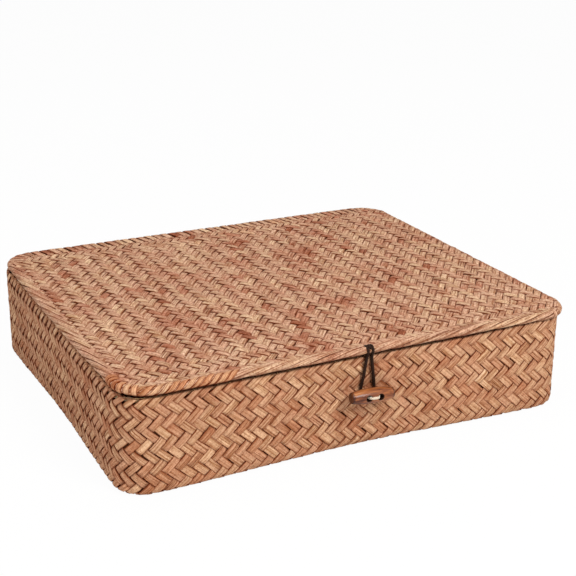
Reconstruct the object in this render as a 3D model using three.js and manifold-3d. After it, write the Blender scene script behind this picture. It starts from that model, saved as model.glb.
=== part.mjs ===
// A flat plaited box with rounded corners. Its lid swings on two cord lashings at the back,
// and a cord loop on the lid's front edge slips over a wooden toggle to hold it shut.
// Lengths are millimetres. X runs along the front, Y towards the back and Z up.
// The origin is the middle of the base, on the surface that the box stands on.
import * as THREE from 'three';
import { mergeVertices } from 'three/addons/utils/BufferGeometryUtils.js';
import Module from 'manifold-3d';

const wasm = await Module();
wasm.setup();

// The box, measured over its rim
const BOX_LENGTH = 340;
const BOX_DEPTH = 287;
const RIM_HEIGHT = 70;
const CORNER_RADIUS = 22;
const RIM_BOW = 0.4;
const FOOT_BOW = 4.5;
const SHORT_SIDE_BOW_SHARE = 0.4;
const CORNER_FOOT_RADIUS = 5.2;
const MID_SIDE_FOOT_RADIUS = 6.5;

// The wall, from the outside in: plaited strips, card, plaited lining
const WEAVE_THICKNESS = 1.5;
const CARD_THICKNESS = 1.2;
const LINING_THICKNESS = 1.3;
const CLEARANCE = 0.3;
const CARD_SEAM = 1.5;

// The rim, where the strips fold over a flat cane and run back down inside
const FOLD_HEIGHT = 7.8;
const FOLD_CROWN = 1.4;
const RIM_CANE_HEIGHT = 3.2;

// The lid, whose top mat curls round a cane along all four edges. Its left edge is set back, so
// that it lies over the wall there and overhangs on the other three sides.
const LID_OVERHANG = 2.9;
const LID_LEFT_SETBACK = 4;
const LID_THICKNESS = 5.5;
const LID_MAT_THICKNESS = 1.3;
const LID_RETURN = 9.5;
const LID_CARD_INSET = 8;

// The hinge lashings: thin cord wound round the lid's cane and the rim's cane
const LASHING_SPACING = 190;
const LASHING_CORD = 1.5;
const LASHING_TURNS = 3;
const LASHING_PITCH = 2;
const LASHING_WAIST = 0.5;
const LASHING_SLOT_REACH = 7.6;

// The toggle, a turned barrel with two holes, and the thread that ties it to the front wall
const TOGGLE_X = 3;
const TOGGLE_HEIGHT = 43.2;
const TOGGLE_STANDOFF = 9.5;
const TOGGLE_LENGTH = 31.8;
const TOGGLE_DIAMETER = 10;
const TOGGLE_END_DIAMETER = 7.6;
const TOGGLE_EDGE = 0.8;
const TOGGLE_TAPER_POWER = 2.6;
const TOGGLE_HOLE_SPACING = 8.8;
const TOGGLE_HOLE_DIAMETER = 3.3;
const TOGGLE_TILT_DEGREES = 2.6;
const STITCH_THREAD = 2;
const STITCH_GAP = 0.5;
const STITCH_SINK = 1.2;
const KNOT_RADIUS = 1;
const KNOT_DEPTH = 1.25;
const KNOT_OPEN_SHARE = 0.02;

// The fastening loop on the lid's front edge
const LOOP_CORD = 2.3;
const LOOP_TOP_X = 3.4;
const LOOP_TOP_WIDTH = 4.4;
const LOOP_FOOT_WIDTH = 9.9;
const LOOP_FOOT_OFFSET = 1;
const LOOP_KNOT_WIDTH = 5.8;
const LOOP_EDGE_SHARE = 0.05;
const LOOP_MIDDLE_SHARE = 0.5;
const LOOP_FOOT_SHARE = 0.9;
const LOOP_BIGHT_SHARE = 0.95;

// How far a cutting shape reaches past the piece that it cuts
const CUT_OVERRUN = 8;

// How finely curves are cut
const CORNER_STEPS = 6;
const SIDE_STEPS = 8;
const FOOT_STEPS = 4;
const CURL_STEPS = 6;
const CANE_SIDES = 8;
const LATHE_SIDES = 24;
const THREAD_SIDES = 6;
const CORD_SIDES = 8;
const LASHING_STEPS = 24;
const STITCH_STEPS = 48;
const KNOT_STEPS = 36;
const LOOP_STEPS = 56;
const BAR_STEPS = 8;

// Places that several pieces share
const WALL_THICKNESS = WEAVE_THICKNESS + CARD_THICKNESS + LINING_THICKNESS + 2 * CLEARANCE;
const CARD_DEPTH = WEAVE_THICKNESS + CLEARANCE;
const LINING_DEPTH = WALL_THICKNESS - LINING_THICKNESS;
const FOLD_BOTTOM = RIM_HEIGHT - FOLD_HEIGHT;
const RIM_CANE_TOP = RIM_HEIGHT - WEAVE_THICKNESS - CLEARANCE;
const RIM_CANE_BOTTOM = RIM_CANE_TOP - RIM_CANE_HEIGHT;
const LASHING_HOLE_HEIGHT = RIM_CANE_BOTTOM - CLEARANCE - LASHING_CORD / 2;
const CARD_TOP = LASHING_HOLE_HEIGHT - LASHING_CORD / 2 - CLEARANCE;
const LID_BASE = RIM_HEIGHT + CLEARANCE;
const CURL_RADIUS = LID_THICKNESS / 2;
const LID_CANE_RADIUS = CURL_RADIUS - LID_MAT_THICKNESS - CLEARANCE;
const CURL_HEIGHT = LID_BASE + CURL_RADIUS;
const HINGE_Y = BOX_DEPTH / 2 + LID_OVERHANG - CURL_RADIUS;
const LASHING_WIDTH = LASHING_TURNS * LASHING_PITCH + LASHING_CORD + 2 * CLEARANCE;
const TOGGLE_WALL_Y = frontWallY(TOGGLE_X, TOGGLE_HEIGHT);
const TOGGLE_Y = TOGGLE_WALL_Y - TOGGLE_STANDOFF;

// Walks once round the outline, counter-clockwise from above. Each station has the point of the
// inner rectangle that it belongs to, its outward direction, and how much the wall sags in there.
function walkOutline() {
  const coreX = BOX_LENGTH / 2 - CORNER_RADIUS;
  const coreY = BOX_DEPTH / 2 - CORNER_RADIUS;
  const cornerSigns = [[1, -1], [1, 1], [-1, 1], [-1, -1]];
  const corners = cornerSigns.map(([x, y]) => new THREE.Vector2(x * coreX, y * coreY));
  const stations = [];
  corners.forEach((corner, quarter) => {
    for (let step = 0; step <= CORNER_STEPS; step++) {
      const angle = (quarter - 1 + step / CORNER_STEPS) * Math.PI / 2;
      stations.push({ core: corner, out: direction(angle), swell: 0, bowShare: 0 });
    }
    const nextCorner = corners[(quarter + 1) % corners.length];
    for (let step = 1; step < SIDE_STEPS; step++) {
      const along = step / SIDE_STEPS;
      const swell = Math.sin(Math.PI * along) ** 2;
      const bowShare = swell * (quarter % 2 === 0 ? SHORT_SIDE_BOW_SHARE : 1);
      const core = corner.clone().lerp(nextCorner, along);
      stations.push({ core, out: direction(quarter * Math.PI / 2), swell, bowShare });
    }
  });
  return stations;
}

function direction(angle) {
  return new THREE.Vector2(Math.cos(angle), Math.sin(angle));
}

// How far the middle of a long wall sags in at a height
function bowAt(height) {
  return THREE.MathUtils.lerp(FOOT_BOW, RIM_BOW, height / RIM_HEIGHT);
}

function frontWallY(x, height) {
  const coreX = BOX_LENGTH / 2 - CORNER_RADIUS;
  const swell = Math.cos(Math.PI * x / (2 * coreX)) ** 2;
  return bowAt(height) * swell - BOX_DEPTH / 2;
}

// A point of the wall, at a depth in from its outer face
function wallPoint(station, depth, height) {
  const reach = CORNER_RADIUS - depth - bowAt(height) * station.bowShare;
  const place = station.core.clone().addScaledVector(station.out, reach);
  return new THREE.Vector3(place.x, place.y, height);
}

// A point of the rounded foot: turn is zero where the wall ends and a quarter turn at the floor
function footPoint(station, depth, turn) {
  const radius = THREE.MathUtils.lerp(CORNER_FOOT_RADIUS, MID_SIDE_FOOT_RADIUS, station.swell);
  const inset = radius - (radius - depth) * Math.cos(turn);
  return wallPoint(station, inset, radius - (radius - depth) * Math.sin(turn));
}

// A point of the lid, at a reach in from its outer edge and a height over its underside
function lidPoint(station, reach, height) {
  const place = station.core.clone().addScaledVector(station.out, CORNER_RADIUS + LID_OVERHANG - reach);
  const leftShare = (1 - station.core.x / (BOX_LENGTH / 2 - CORNER_RADIUS)) / 2;
  return new THREE.Vector3(place.x + LID_LEFT_SETBACK * leftShare, place.y, LID_BASE + height);
}

const STATIONS = walkOutline();
const ringOf = (pointAt) => STATIONS.map(pointAt);
const pole = (height) => [new THREE.Vector3(0, 0, height)];

// Rings of one surface of the wall, from a top height down to where the foot starts to curve
function wallRings(depth, top) {
  const shares = [0, 0.5, 1];
  return shares.map((share) => ringOf((station) => {
    const low = footPoint(station, depth, 0).z;
    return wallPoint(station, depth, THREE.MathUtils.lerp(top, low, share));
  }));
}

// The same surface, carried on round the foot to the edge of the floor
function basketRings(depth, top) {
  const rings = wallRings(depth, top);
  for (let step = 1; step <= FOOT_STEPS; step++) {
    const turn = step / FOOT_STEPS * Math.PI / 2;
    rings.push(ringOf((station) => footPoint(station, depth, turn)));
  }
  return rings;
}

// Joins each ring to the next and the last to the first. A pole is a ring of one point.
function loft(rings) {
  const corners = [];
  rings.forEach((ring, index) => {
    const next = rings[(index + 1) % rings.length];
    for (let here = 0; here < STATIONS.length; here++) {
      const there = (here + 1) % STATIONS.length;
      if (next.length > 1) {
        corners.push(ring[here % ring.length], next[here], next[there]);
      }
      if (ring.length > 1) {
        corners.push(ring[here], next[there % next.length], ring[there]);
      }
    }
  });
  return facingOut(mergeVertices(new THREE.BufferGeometry().setFromPoints(corners)));
}

// Turns a closed shape's triangles over if they face in
function facingOut(geometry) {
  const order = geometry.index.array;
  const place = geometry.getAttribute('position');
  const corners = [0, 1, 2].map(() => new THREE.Vector3());
  let volume = 0;
  for (let first = 0; first < order.length; first += 3) {
    corners.forEach((corner, step) => corner.fromBufferAttribute(place, order[first + step]));
    volume += corners[0].dot(corners[1].clone().cross(corners[2]));
  }
  if (volume < 0) {
    order.reverse();
  }
  return geometry;
}

function bare(geometry) {
  geometry.deleteAttribute('normal');
  geometry.deleteAttribute('uv');
  return facingOut(mergeVertices(geometry));
}

function solidOf(geometry) {
  const vertProperties = new Float32Array(geometry.getAttribute('position').array);
  const triVerts = new Uint32Array(geometry.index.array);
  return new wasm.Manifold(new wasm.Mesh({ numProp: 3, vertProperties, triVerts }));
}

function geometryOf(solid) {
  const mesh = solid.getMesh();
  const geometry = new THREE.BufferGeometry();
  geometry.setAttribute('position', new THREE.BufferAttribute(mesh.vertProperties, 3));
  geometry.setIndex(new THREE.BufferAttribute(mesh.triVerts, 1));
  return geometry;
}

function cut(geometry, cutters) {
  const cutSolid = cutters.reduce((solid, cutter) => solid.subtract(solidOf(cutter)), solidOf(geometry));
  return geometryOf(cutSolid);
}

function join(geometries) {
  return geometryOf(geometries.map(solidOf).reduce((all, solid) => all.add(solid)));
}

// A round tube with flat ends along a curve
function tube(curve, diameter, sides, steps) {
  const section = new THREE.Shape();
  for (let side = 0; side < sides; side++) {
    const rim = direction(2 * Math.PI * side / sides).multiplyScalar(diameter / 2);
    section[side === 0 ? 'moveTo' : 'lineTo'](rim.x, rim.y);
  }
  section.closePath();
  return bare(new THREE.ExtrudeGeometry(section, { steps, extrudePath: curve, bevelEnabled: false }));
}

// A ring-shaped solid lying along X, for slots that clear a turning edge
function washerAlongX(innerRadius, outerRadius, width) {
  const profile = [
    [innerRadius, -width / 2], [outerRadius, -width / 2],
    [outerRadius, width / 2], [innerRadius, width / 2], [innerRadius, -width / 2],
  ].map(([radius, along]) => new THREE.Vector2(radius, along));
  return bare(new THREE.LatheGeometry(profile, LATHE_SIDES)).rotateZ(-Math.PI / 2);
}

function pegAlongY(diameter, length) {
  return bare(new THREE.CylinderGeometry(diameter / 2, diameter / 2, length, LATHE_SIDES));
}

// The hole that the toggle's thread runs through, cut in every layer of the front wall
function stitchHole() {
  const diameter = 2 * STITCH_THREAD + STITCH_GAP + 2 * CLEARANCE;
  const peg = pegAlongY(diameter, WALL_THICKNESS + 2 * CUT_OVERRUN);
  return peg.translate(TOGGLE_X, TOGGLE_WALL_Y + WALL_THICKNESS / 2, TOGGLE_HEIGHT);
}

function outerWeave() {
  const top = FOLD_BOTTOM - CLEARANCE;
  const outside = basketRings(0, top);
  const inside = basketRings(WEAVE_THICKNESS, top).reverse();
  return cut(loft([...outside, pole(0), pole(WEAVE_THICKNESS), ...inside]), [stitchHole()]);
}

function innerWeave() {
  const top = FOLD_BOTTOM - CLEARANCE;
  const outside = basketRings(LINING_DEPTH, top);
  const inside = basketRings(WALL_THICKNESS, top).reverse();
  return cut(loft([...outside, pole(LINING_DEPTH), pole(WALL_THICKNESS), ...inside]), [stitchHole()]);
}

// A narrow block that parts a band or hoop at the middle of the back wall
function backSeam() {
  const across = WALL_THICKNESS + 2 * CUT_OVERRUN;
  const seam = new THREE.BoxGeometry(CARD_SEAM, across, RIM_HEIGHT + 2 * CUT_OVERRUN);
  return bare(seam).translate(0, (BOX_DEPTH - WALL_THICKNESS) / 2, RIM_HEIGHT / 2);
}

function wallCard() {
  const outside = wallRings(CARD_DEPTH, CARD_TOP);
  const inside = wallRings(CARD_DEPTH + CARD_THICKNESS, CARD_TOP).reverse();
  return cut(loft([...outside, ...inside]), [stitchHole(), backSeam()]);
}

function floorCard() {
  const underside = ringOf((station) => footPoint(station, CARD_DEPTH, Math.PI / 2));
  const top = underside.map((point) => point.clone().setZ(CARD_DEPTH + CARD_THICKNESS));
  return loft([underside, top, pole(CARD_DEPTH + CARD_THICKNESS), pole(CARD_DEPTH)]);
}

// A slot through the fold for one lashing, below the rim's cane
function lashingHole(side) {
  const height = LASHING_CORD + 3 * CLEARANCE;
  const slot = new THREE.BoxGeometry(LASHING_WIDTH, WALL_THICKNESS + 2 * CUT_OVERRUN, height);
  const middleY = (BOX_DEPTH - WALL_THICKNESS) / 2;
  return bare(slot).translate(side * LASHING_SPACING / 2, middleY, LASHING_HOLE_HEIGHT);
}

function rimFold() {
  const crownBase = RIM_HEIGHT - FOLD_CROWN;
  const section = [[0, FOLD_BOTTOM]];
  for (let step = 0; step <= CURL_STEPS; step++) {
    const turn = Math.PI * step / CURL_STEPS;
    const depth = WALL_THICKNESS * (1 - Math.cos(turn)) / 2;
    section.push([depth, crownBase + FOLD_CROWN * Math.sin(turn)]);
  }
  const hollowTop = RIM_CANE_TOP + CLEARANCE / 2;
  section.push(
    [WALL_THICKNESS, FOLD_BOTTOM], [LINING_DEPTH, FOLD_BOTTOM], [LINING_DEPTH, hollowTop],
    [WEAVE_THICKNESS, hollowTop], [WEAVE_THICKNESS, FOLD_BOTTOM],
  );
  const rings = section.map(([depth, height]) => ringOf((station) => wallPoint(station, depth, height)));
  return cut(loft(rings), [lashingHole(-1), lashingHole(1)]);
}

function rimCane() {
  const middleDepth = CARD_DEPTH + CARD_THICKNESS / 2;
  const middleHeight = (RIM_CANE_TOP + RIM_CANE_BOTTOM) / 2;
  const rings = [];
  for (let side = 0; side < CANE_SIDES; side++) {
    const spoke = direction(2 * Math.PI * side / CANE_SIDES);
    const depth = middleDepth - spoke.x * CARD_THICKNESS / 2;
    const height = middleHeight + spoke.y * (RIM_CANE_HEIGHT / 2 - CLEARANCE / 2);
    rings.push(ringOf((station) => wallPoint(station, depth, height)));
  }
  return cut(loft(rings), [backSeam()]);
}

// Clears each lashing out of the lid at every angle that the lid turns to
function lashingSlots() {
  const waistRadius = CURL_RADIUS - LASHING_WAIST;
  return [-1, 1].map((side) => washerAlongX(waistRadius, LASHING_SLOT_REACH, LASHING_WIDTH)
    .translate(side * LASHING_SPACING / 2, HINGE_Y, CURL_HEIGHT));
}

// Arc of the curl's outer or inner face, from the underside round the edge to the top
function curlArc(radius) {
  const arc = [];
  for (let step = 0; step <= CURL_STEPS; step++) {
    const turn = Math.PI * (step / CURL_STEPS - 0.5);
    arc.push([CURL_RADIUS - radius * Math.cos(turn), CURL_RADIUS + radius * Math.sin(turn)]);
  }
  return arc;
}

function lidTopWeave() {
  const outside = [[LID_RETURN, 0], ...curlArc(CURL_RADIUS)];
  const inside = [...curlArc(CURL_RADIUS - LID_MAT_THICKNESS).reverse(), [LID_RETURN, LID_MAT_THICKNESS]];
  const ring = ([reach, height]) => ringOf((station) => lidPoint(station, reach, height));
  const top = pole(LID_BASE + LID_THICKNESS);
  const underTop = pole(LID_BASE + LID_THICKNESS - LID_MAT_THICKNESS);
  const mat = loft([...outside.map(ring), top, underTop, ...inside.map(ring)]);
  return cut(mat, [...lashingSlots(), ...loopTubes(LOOP_CORD + 2 * CLEARANCE)]);
}

function lidCane() {
  const rings = [];
  for (let side = 0; side < CANE_SIDES; side++) {
    const spoke = direction(2 * Math.PI * side / CANE_SIDES).multiplyScalar(LID_CANE_RADIUS);
    rings.push(ringOf((station) => lidPoint(station, CURL_RADIUS + spoke.x, CURL_RADIUS + spoke.y)));
  }
  return loft(rings);
}

// A flat plate of the lid between two heights over its underside
function lidPlate(inset, low, high) {
  const underside = ringOf((station) => lidPoint(station, inset, low));
  const top = ringOf((station) => lidPoint(station, inset, high));
  return loft([underside, top, pole(LID_BASE + high), pole(LID_BASE + low)]);
}

function lidCard() {
  const low = LID_MAT_THICKNESS + CLEARANCE;
  return cut(lidPlate(LID_CARD_INSET, low, LID_THICKNESS - low), lashingSlots());
}

function lidLining() {
  return lidPlate(LID_RETURN + CLEARANCE, 0, LID_MAT_THICKNESS);
}

// One lashing's cord: round over the lid's curl, down the back of the wall, in through the fold
// under the rim's cane, up inside and through the lid again, a pitch further along each time.
class LashingCurve extends THREE.Curve {
  constructor(side) {
    super();
    this.middle = side * LASHING_SPACING / 2;
    this.turn = lashingTurn();
  }

  getPoint(share, target = new THREE.Vector3()) {
    const turns = share * LASHING_TURNS;
    target.copy(this.turn.getPoint(turns % 1));
    target.x = this.middle + LASHING_PITCH * (turns - LASHING_TURNS / 2);
    return target;
  }
}

function lashingTurn() {
  const half = LASHING_CORD / 2;
  const curlRadius = CURL_RADIUS - LASHING_WAIST + CLEARANCE + half;
  const overCurl = [-35, 10, 50, 90, 130, 170].map((degrees) => {
    const spoke = direction(THREE.MathUtils.degToRad(degrees)).multiplyScalar(curlRadius);
    return [HINGE_Y + spoke.x, CURL_HEIGHT + spoke.y];
  });
  const outsideY = BOX_DEPTH / 2 + half + CLEARANCE;
  const insideY = BOX_DEPTH / 2 - WALL_THICKNESS - half - 2 * CLEARANCE;
  const holeHeight = LASHING_HOLE_HEIGHT;
  const bend = LASHING_CORD;
  const route = [
    [BOX_DEPTH / 2 - WALL_THICKNESS / 2, holeHeight], [BOX_DEPTH / 2 - half, holeHeight],
    [outsideY, holeHeight + bend], [outsideY + CLEARANCE, RIM_HEIGHT - bend],
    ...overCurl,
    [insideY + half, LID_BASE + half], [insideY, RIM_HEIGHT - bend], [insideY, holeHeight + bend],
    [BOX_DEPTH / 2 - WALL_THICKNESS, holeHeight],
  ].map(([y, z]) => new THREE.Vector3(0, y, z));
  return new THREE.CatmullRomCurve3(route, true);
}

function hingeLashing(side) {
  return tube(new LashingCurve(side), LASHING_CORD, THREAD_SIDES, LASHING_TURNS * LASHING_STEPS);
}

// Least space between neighbouring turns of a lashing, measured on points of its middle line
function leastLashingGap() {
  const perTurn = 4 * LASHING_STEPS;
  const points = new LashingCurve(1).getPoints(LASHING_TURNS * perTurn);
  let least = Infinity;
  for (let here = 0; here < points.length; here++) {
    for (let there = here + perTurn / 2; there < points.length; there++) {
      least = Math.min(least, points[here].distanceTo(points[there]));
    }
  }
  return least - LASHING_CORD;
}

// The toggle is modelled about its own middle: X along the barrel, -Y the face that shows
function barrelRadius(share) {
  const taper = 1 - Math.abs(share) ** TOGGLE_TAPER_POWER;
  return THREE.MathUtils.lerp(TOGGLE_END_DIAMETER, TOGGLE_DIAMETER, taper) / 2;
}

function stitchCurve() {
  const half = STITCH_THREAD / 2;
  const shank = half + STITCH_GAP / 2;
  const hole = TOGGLE_HOLE_SPACING / 2;
  const front = half + CLEARANCE - STITCH_SINK - TOGGLE_DIAMETER / 2;
  const back = TOGGLE_DIAMETER / 2 + CLEARANCE + half;
  const knot = TOGGLE_STANDOFF + WALL_THICKNESS + STITCH_THREAD;
  const leg = [
    [shank, knot], [shank, TOGGLE_STANDOFF], [shank + CLEARANCE, back + half],
    [hole - STITCH_THREAD, back], [hole, back - STITCH_THREAD], [hole, 0],
    [hole, front + STITCH_THREAD], [hole - STITCH_THREAD, front],
  ];
  const left = leg.map(([x, y]) => new THREE.Vector3(-x, y, 0));
  const right = leg.map(([x, y]) => new THREE.Vector3(x, y, 0)).reverse();
  return new THREE.CatmullRomCurve3([...left, ...right]);
}

function toggleButton() {
  const steps = LATHE_SIDES / 2;
  const profile = [new THREE.Vector2(0, -TOGGLE_LENGTH / 2)];
  profile.push(new THREE.Vector2(TOGGLE_END_DIAMETER / 2 - TOGGLE_EDGE, -TOGGLE_LENGTH / 2));
  const shoulder = TOGGLE_LENGTH / 2 - TOGGLE_EDGE;
  for (let step = 0; step <= steps; step++) {
    const share = 2 * step / steps - 1;
    profile.push(new THREE.Vector2(barrelRadius(share), share * shoulder));
  }
  profile.push(new THREE.Vector2(TOGGLE_END_DIAMETER / 2 - TOGGLE_EDGE, TOGGLE_LENGTH / 2));
  profile.push(new THREE.Vector2(0, TOGGLE_LENGTH / 2));
  const barrel = bare(new THREE.LatheGeometry(profile, LATHE_SIDES)).rotateZ(Math.PI / 2);
  const holes = [-1, 1].map((side) => pegAlongY(TOGGLE_HOLE_DIAMETER, TOGGLE_DIAMETER + 2 * CUT_OVERRUN)
    .translate(side * TOGGLE_HOLE_SPACING / 2, 0, 0));
  const channel = tube(stitchCurve(), STITCH_THREAD + 2 * CLEARANCE, THREAD_SIDES, STITCH_STEPS);
  return cut(barrel, [...holes, channel]);
}

// An overhand knot, drawn as a trefoil whose two ends stop short of each other
class KnotCurve extends THREE.Curve {
  getPoint(share, target = new THREE.Vector3()) {
    const turn = 2 * Math.PI * THREE.MathUtils.lerp(KNOT_OPEN_SHARE, 1 - KNOT_OPEN_SHARE, share);
    target.x = KNOT_RADIUS * (Math.sin(turn) + 2 * Math.sin(2 * turn));
    target.y = KNOT_DEPTH * Math.sin(3 * turn);
    target.z = KNOT_RADIUS * (Math.cos(turn) - 2 * Math.cos(2 * turn));
    return target;
  }
}

function toggleStitch() {
  const thread = tube(stitchCurve(), STITCH_THREAD, THREAD_SIDES, STITCH_STEPS);
  const knot = tube(new KnotCurve(), STITCH_THREAD, THREAD_SIDES, KNOT_STEPS);
  const knotHalf = KNOT_DEPTH + STITCH_THREAD / 2;
  knot.translate(0, TOGGLE_STANDOFF + WALL_THICKNESS + CLEARANCE + knotHalf, 0);
  return join([thread, knot]);
}

// A point over the lid's front cane: zero degrees is the front, ninety the top
function overFrontCane(x, radius, degrees) {
  const spoke = direction(THREE.MathUtils.degToRad(degrees)).multiplyScalar(radius);
  return new THREE.Vector3(x, -HINGE_Y - spoke.x, CURL_HEIGHT + spoke.y);
}

// The loop runs from behind the lid's cane, over it, down behind the toggle, under the toggle's
// thread and back up the same way.
function loopCurve() {
  const half = LOOP_CORD / 2;
  const caneReach = LID_CANE_RADIUS + CLEARANCE + half;
  const wallY = TOGGLE_WALL_Y - CLEARANCE - half;
  const threadReach = STITCH_THREAD + STITCH_GAP / 2 + 2 * CLEARANCE + half;
  const lowX = LOOP_FOOT_WIDTH / 2;
  const middle = TOGGLE_X + LOOP_FOOT_OFFSET;
  const side = (sign) => {
    const topX = LOOP_TOP_X + sign * LOOP_TOP_WIDTH / 2;
    const footX = middle + sign * lowX;
    const down = (share) => THREE.MathUtils.lerp(RIM_HEIGHT, TOGGLE_HEIGHT, share);
    const middleX = THREE.MathUtils.lerp(topX, footX, LOOP_MIDDLE_SHARE);
    return [
      ...[150, 120, 90, 60, 30, 0].map((degrees) => overFrontCane(topX, caneReach, degrees)),
      new THREE.Vector3(topX, -HINGE_Y - half, down(LOOP_EDGE_SHARE)),
      new THREE.Vector3(middleX, wallY - half, down(LOOP_MIDDLE_SHARE)),
      new THREE.Vector3(footX, wallY, down(LOOP_FOOT_SHARE)),
      new THREE.Vector3(middle + sign * lowX * LOOP_BIGHT_SHARE, wallY, TOGGLE_HEIGHT - half),
    ];
  };
  const bight = new THREE.Vector3(TOGGLE_X, wallY, TOGGLE_HEIGHT - threadReach);
  return new THREE.CatmullRomCurve3([...side(-1), bight, ...side(1).reverse()]);
}

// A short bar of the same cord lies across both legs, over the cane
function loopKnotCurve() {
  const caneReach = LID_CANE_RADIUS + CLEARANCE + LOOP_CORD / 2;
  const wide = LOOP_KNOT_WIDTH / 2;
  const narrow = wide - LOOP_CORD / 2;
  const raised = caneReach + LOOP_CORD / 4;
  const endDegrees = 100;
  const middleDegrees = 82;
  return new THREE.CatmullRomCurve3([
    overFrontCane(LOOP_TOP_X - wide, caneReach - CLEARANCE, endDegrees),
    overFrontCane(LOOP_TOP_X - narrow, raised, middleDegrees),
    overFrontCane(LOOP_TOP_X + narrow, raised, middleDegrees),
    overFrontCane(LOOP_TOP_X + wide, caneReach - CLEARANCE, endDegrees),
  ]);
}

function loopTubes(diameter) {
  const loop = tube(loopCurve(), diameter, CORD_SIDES, LOOP_STEPS);
  const knot = tube(loopKnotCurve(), diameter, CORD_SIDES, BAR_STEPS);
  return [loop, knot];
}

function fasteningLoop() {
  return join(loopTubes(LOOP_CORD));
}

// Finishes
const PLAITED_STRIP = { color: 0xc08a5c, roughness: 0.75, metalness: 0 };
const PALE_STRIP = { color: 0xc99a6c, roughness: 0.8, metalness: 0 };
const CARD = { color: 0xa08a6c, roughness: 0.95, metalness: 0 };
const CANE = { color: 0xb98d55, roughness: 0.6, metalness: 0 };
const PALE_CORD = { color: 0xc2a06f, roughness: 0.85, metalness: 0 };
const DARK_CORD = { color: 0x1f1512, roughness: 0.55, metalness: 0 };
const CREAM_THREAD = { color: 0xe0cbae, roughness: 0.8, metalness: 0 };
const RED_WOOD = { color: 0x7c3a22, roughness: 0.3, metalness: 0 };

function piece(name, geometry, finish) {
  const mesh = new THREE.Mesh(geometry, new THREE.MeshStandardMaterial(finish));
  mesh.name = name;
  return mesh;
}

const basket = new THREE.Group();
basket.add(
  piece('outer_weave', outerWeave(), PLAITED_STRIP),
  piece('inner_weave', innerWeave(), PALE_STRIP),
  piece('wall_card', wallCard(), CARD),
  piece('floor_card', floorCard(), CARD),
  piece('rim_fold', rimFold(), PLAITED_STRIP),
  piece('rim_cane', rimCane(), CANE),
  piece('hinge_lashing_left', hingeLashing(-1), PALE_CORD),
  piece('hinge_lashing_right', hingeLashing(1), PALE_CORD),
);

const lid = new THREE.Group();
lid.add(
  piece('lid_top_weave', lidTopWeave(), PLAITED_STRIP),
  piece('lid_lining', lidLining(), PALE_STRIP),
  piece('lid_card', lidCard(), CARD),
  piece('lid_cane', lidCane(), CANE),
  piece('fastening_loop', fasteningLoop(), DARK_CORD),
);

const toggle = new THREE.Group();
toggle.position.set(TOGGLE_X, TOGGLE_Y, TOGGLE_HEIGHT);
toggle.rotation.y = THREE.MathUtils.degToRad(TOGGLE_TILT_DEGREES);
toggle.add(
  piece('toggle_button', toggleButton(), RED_WOOD),
  piece('toggle_stitch', toggleStitch(), CREAM_THREAD),
);

console.log(`least gap between lashing turns: ${leastLashingGap().toFixed(2)} mm`);

const box = new THREE.Group();
box.add(basket, lid, toggle);

export default box;
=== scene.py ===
# A flat plaited box with a lashed lid and a loop-and-toggle fastening, on a white table.
# Lengths are metres. X runs along the front, Y towards the back and Z up.
import math

import bpy
import numpy as np
from mathutils import Matrix, Vector


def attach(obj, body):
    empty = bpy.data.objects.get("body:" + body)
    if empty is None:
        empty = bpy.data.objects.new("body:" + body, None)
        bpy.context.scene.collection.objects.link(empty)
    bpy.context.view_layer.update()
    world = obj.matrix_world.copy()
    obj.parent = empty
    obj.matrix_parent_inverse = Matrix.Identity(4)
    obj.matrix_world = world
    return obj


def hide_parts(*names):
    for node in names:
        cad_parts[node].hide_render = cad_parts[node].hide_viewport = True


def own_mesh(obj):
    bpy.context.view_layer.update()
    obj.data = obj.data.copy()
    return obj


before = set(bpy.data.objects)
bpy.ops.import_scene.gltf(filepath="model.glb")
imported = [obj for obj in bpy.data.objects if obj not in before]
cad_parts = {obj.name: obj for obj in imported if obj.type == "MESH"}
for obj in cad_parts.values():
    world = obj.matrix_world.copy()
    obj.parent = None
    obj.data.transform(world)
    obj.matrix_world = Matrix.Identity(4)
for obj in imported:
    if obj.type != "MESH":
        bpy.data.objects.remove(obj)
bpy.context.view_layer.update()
MM = 0.001

# The box, as in the solid model
LENGTH = 340 * MM
DEPTH = 287 * MM
RIM_HEIGHT = 70 * MM
CORNER_RADIUS = 22 * MM
RIM_BOW = 0.4 * MM
FOOT_BOW = 4.5 * MM
SHORT_SIDE_BOW_SHARE = 0.4
CORNER_FOOT_RADIUS = 5.2 * MM
MID_SIDE_FOOT_RADIUS = 6.5 * MM
WALL = 4.6 * MM
FOLD_CROWN = 1.4 * MM
RIM_CANE_HEIGHT = 3.2 * MM
WEAVE = 1.5 * MM
CLEARANCE = 0.3 * MM
CORE_X = LENGTH / 2 - CORNER_RADIUS
CORE_Y = DEPTH / 2 - CORNER_RADIUS

# The lid and its curled edge
LID_OVERHANG = 2.9 * MM
LID_LEFT_SETBACK = 4 * MM
LID_THICKNESS = 5.5 * MM
LID_MAT = 1.3 * MM
LID_BASE = RIM_HEIGHT + CLEARANCE
CURL_RADIUS = LID_THICKNESS / 2
CURL_HEIGHT = LID_BASE + CURL_RADIUS
LID_CANE_RADIUS = CURL_RADIUS - LID_MAT - CLEARANCE
LID_FLAT = CORNER_RADIUS + LID_OVERHANG - CURL_RADIUS
HINGE_Y = DEPTH / 2 + LID_OVERHANG - CURL_RADIUS

# The hinge lashings
LASHING_SPACING = 190 * MM
LASHING_CORD = 1.5 * MM
LASHING_TURNS = 3
LASHING_PITCH = 2 * MM
LASHING_WAIST = 0.5 * MM

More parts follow.
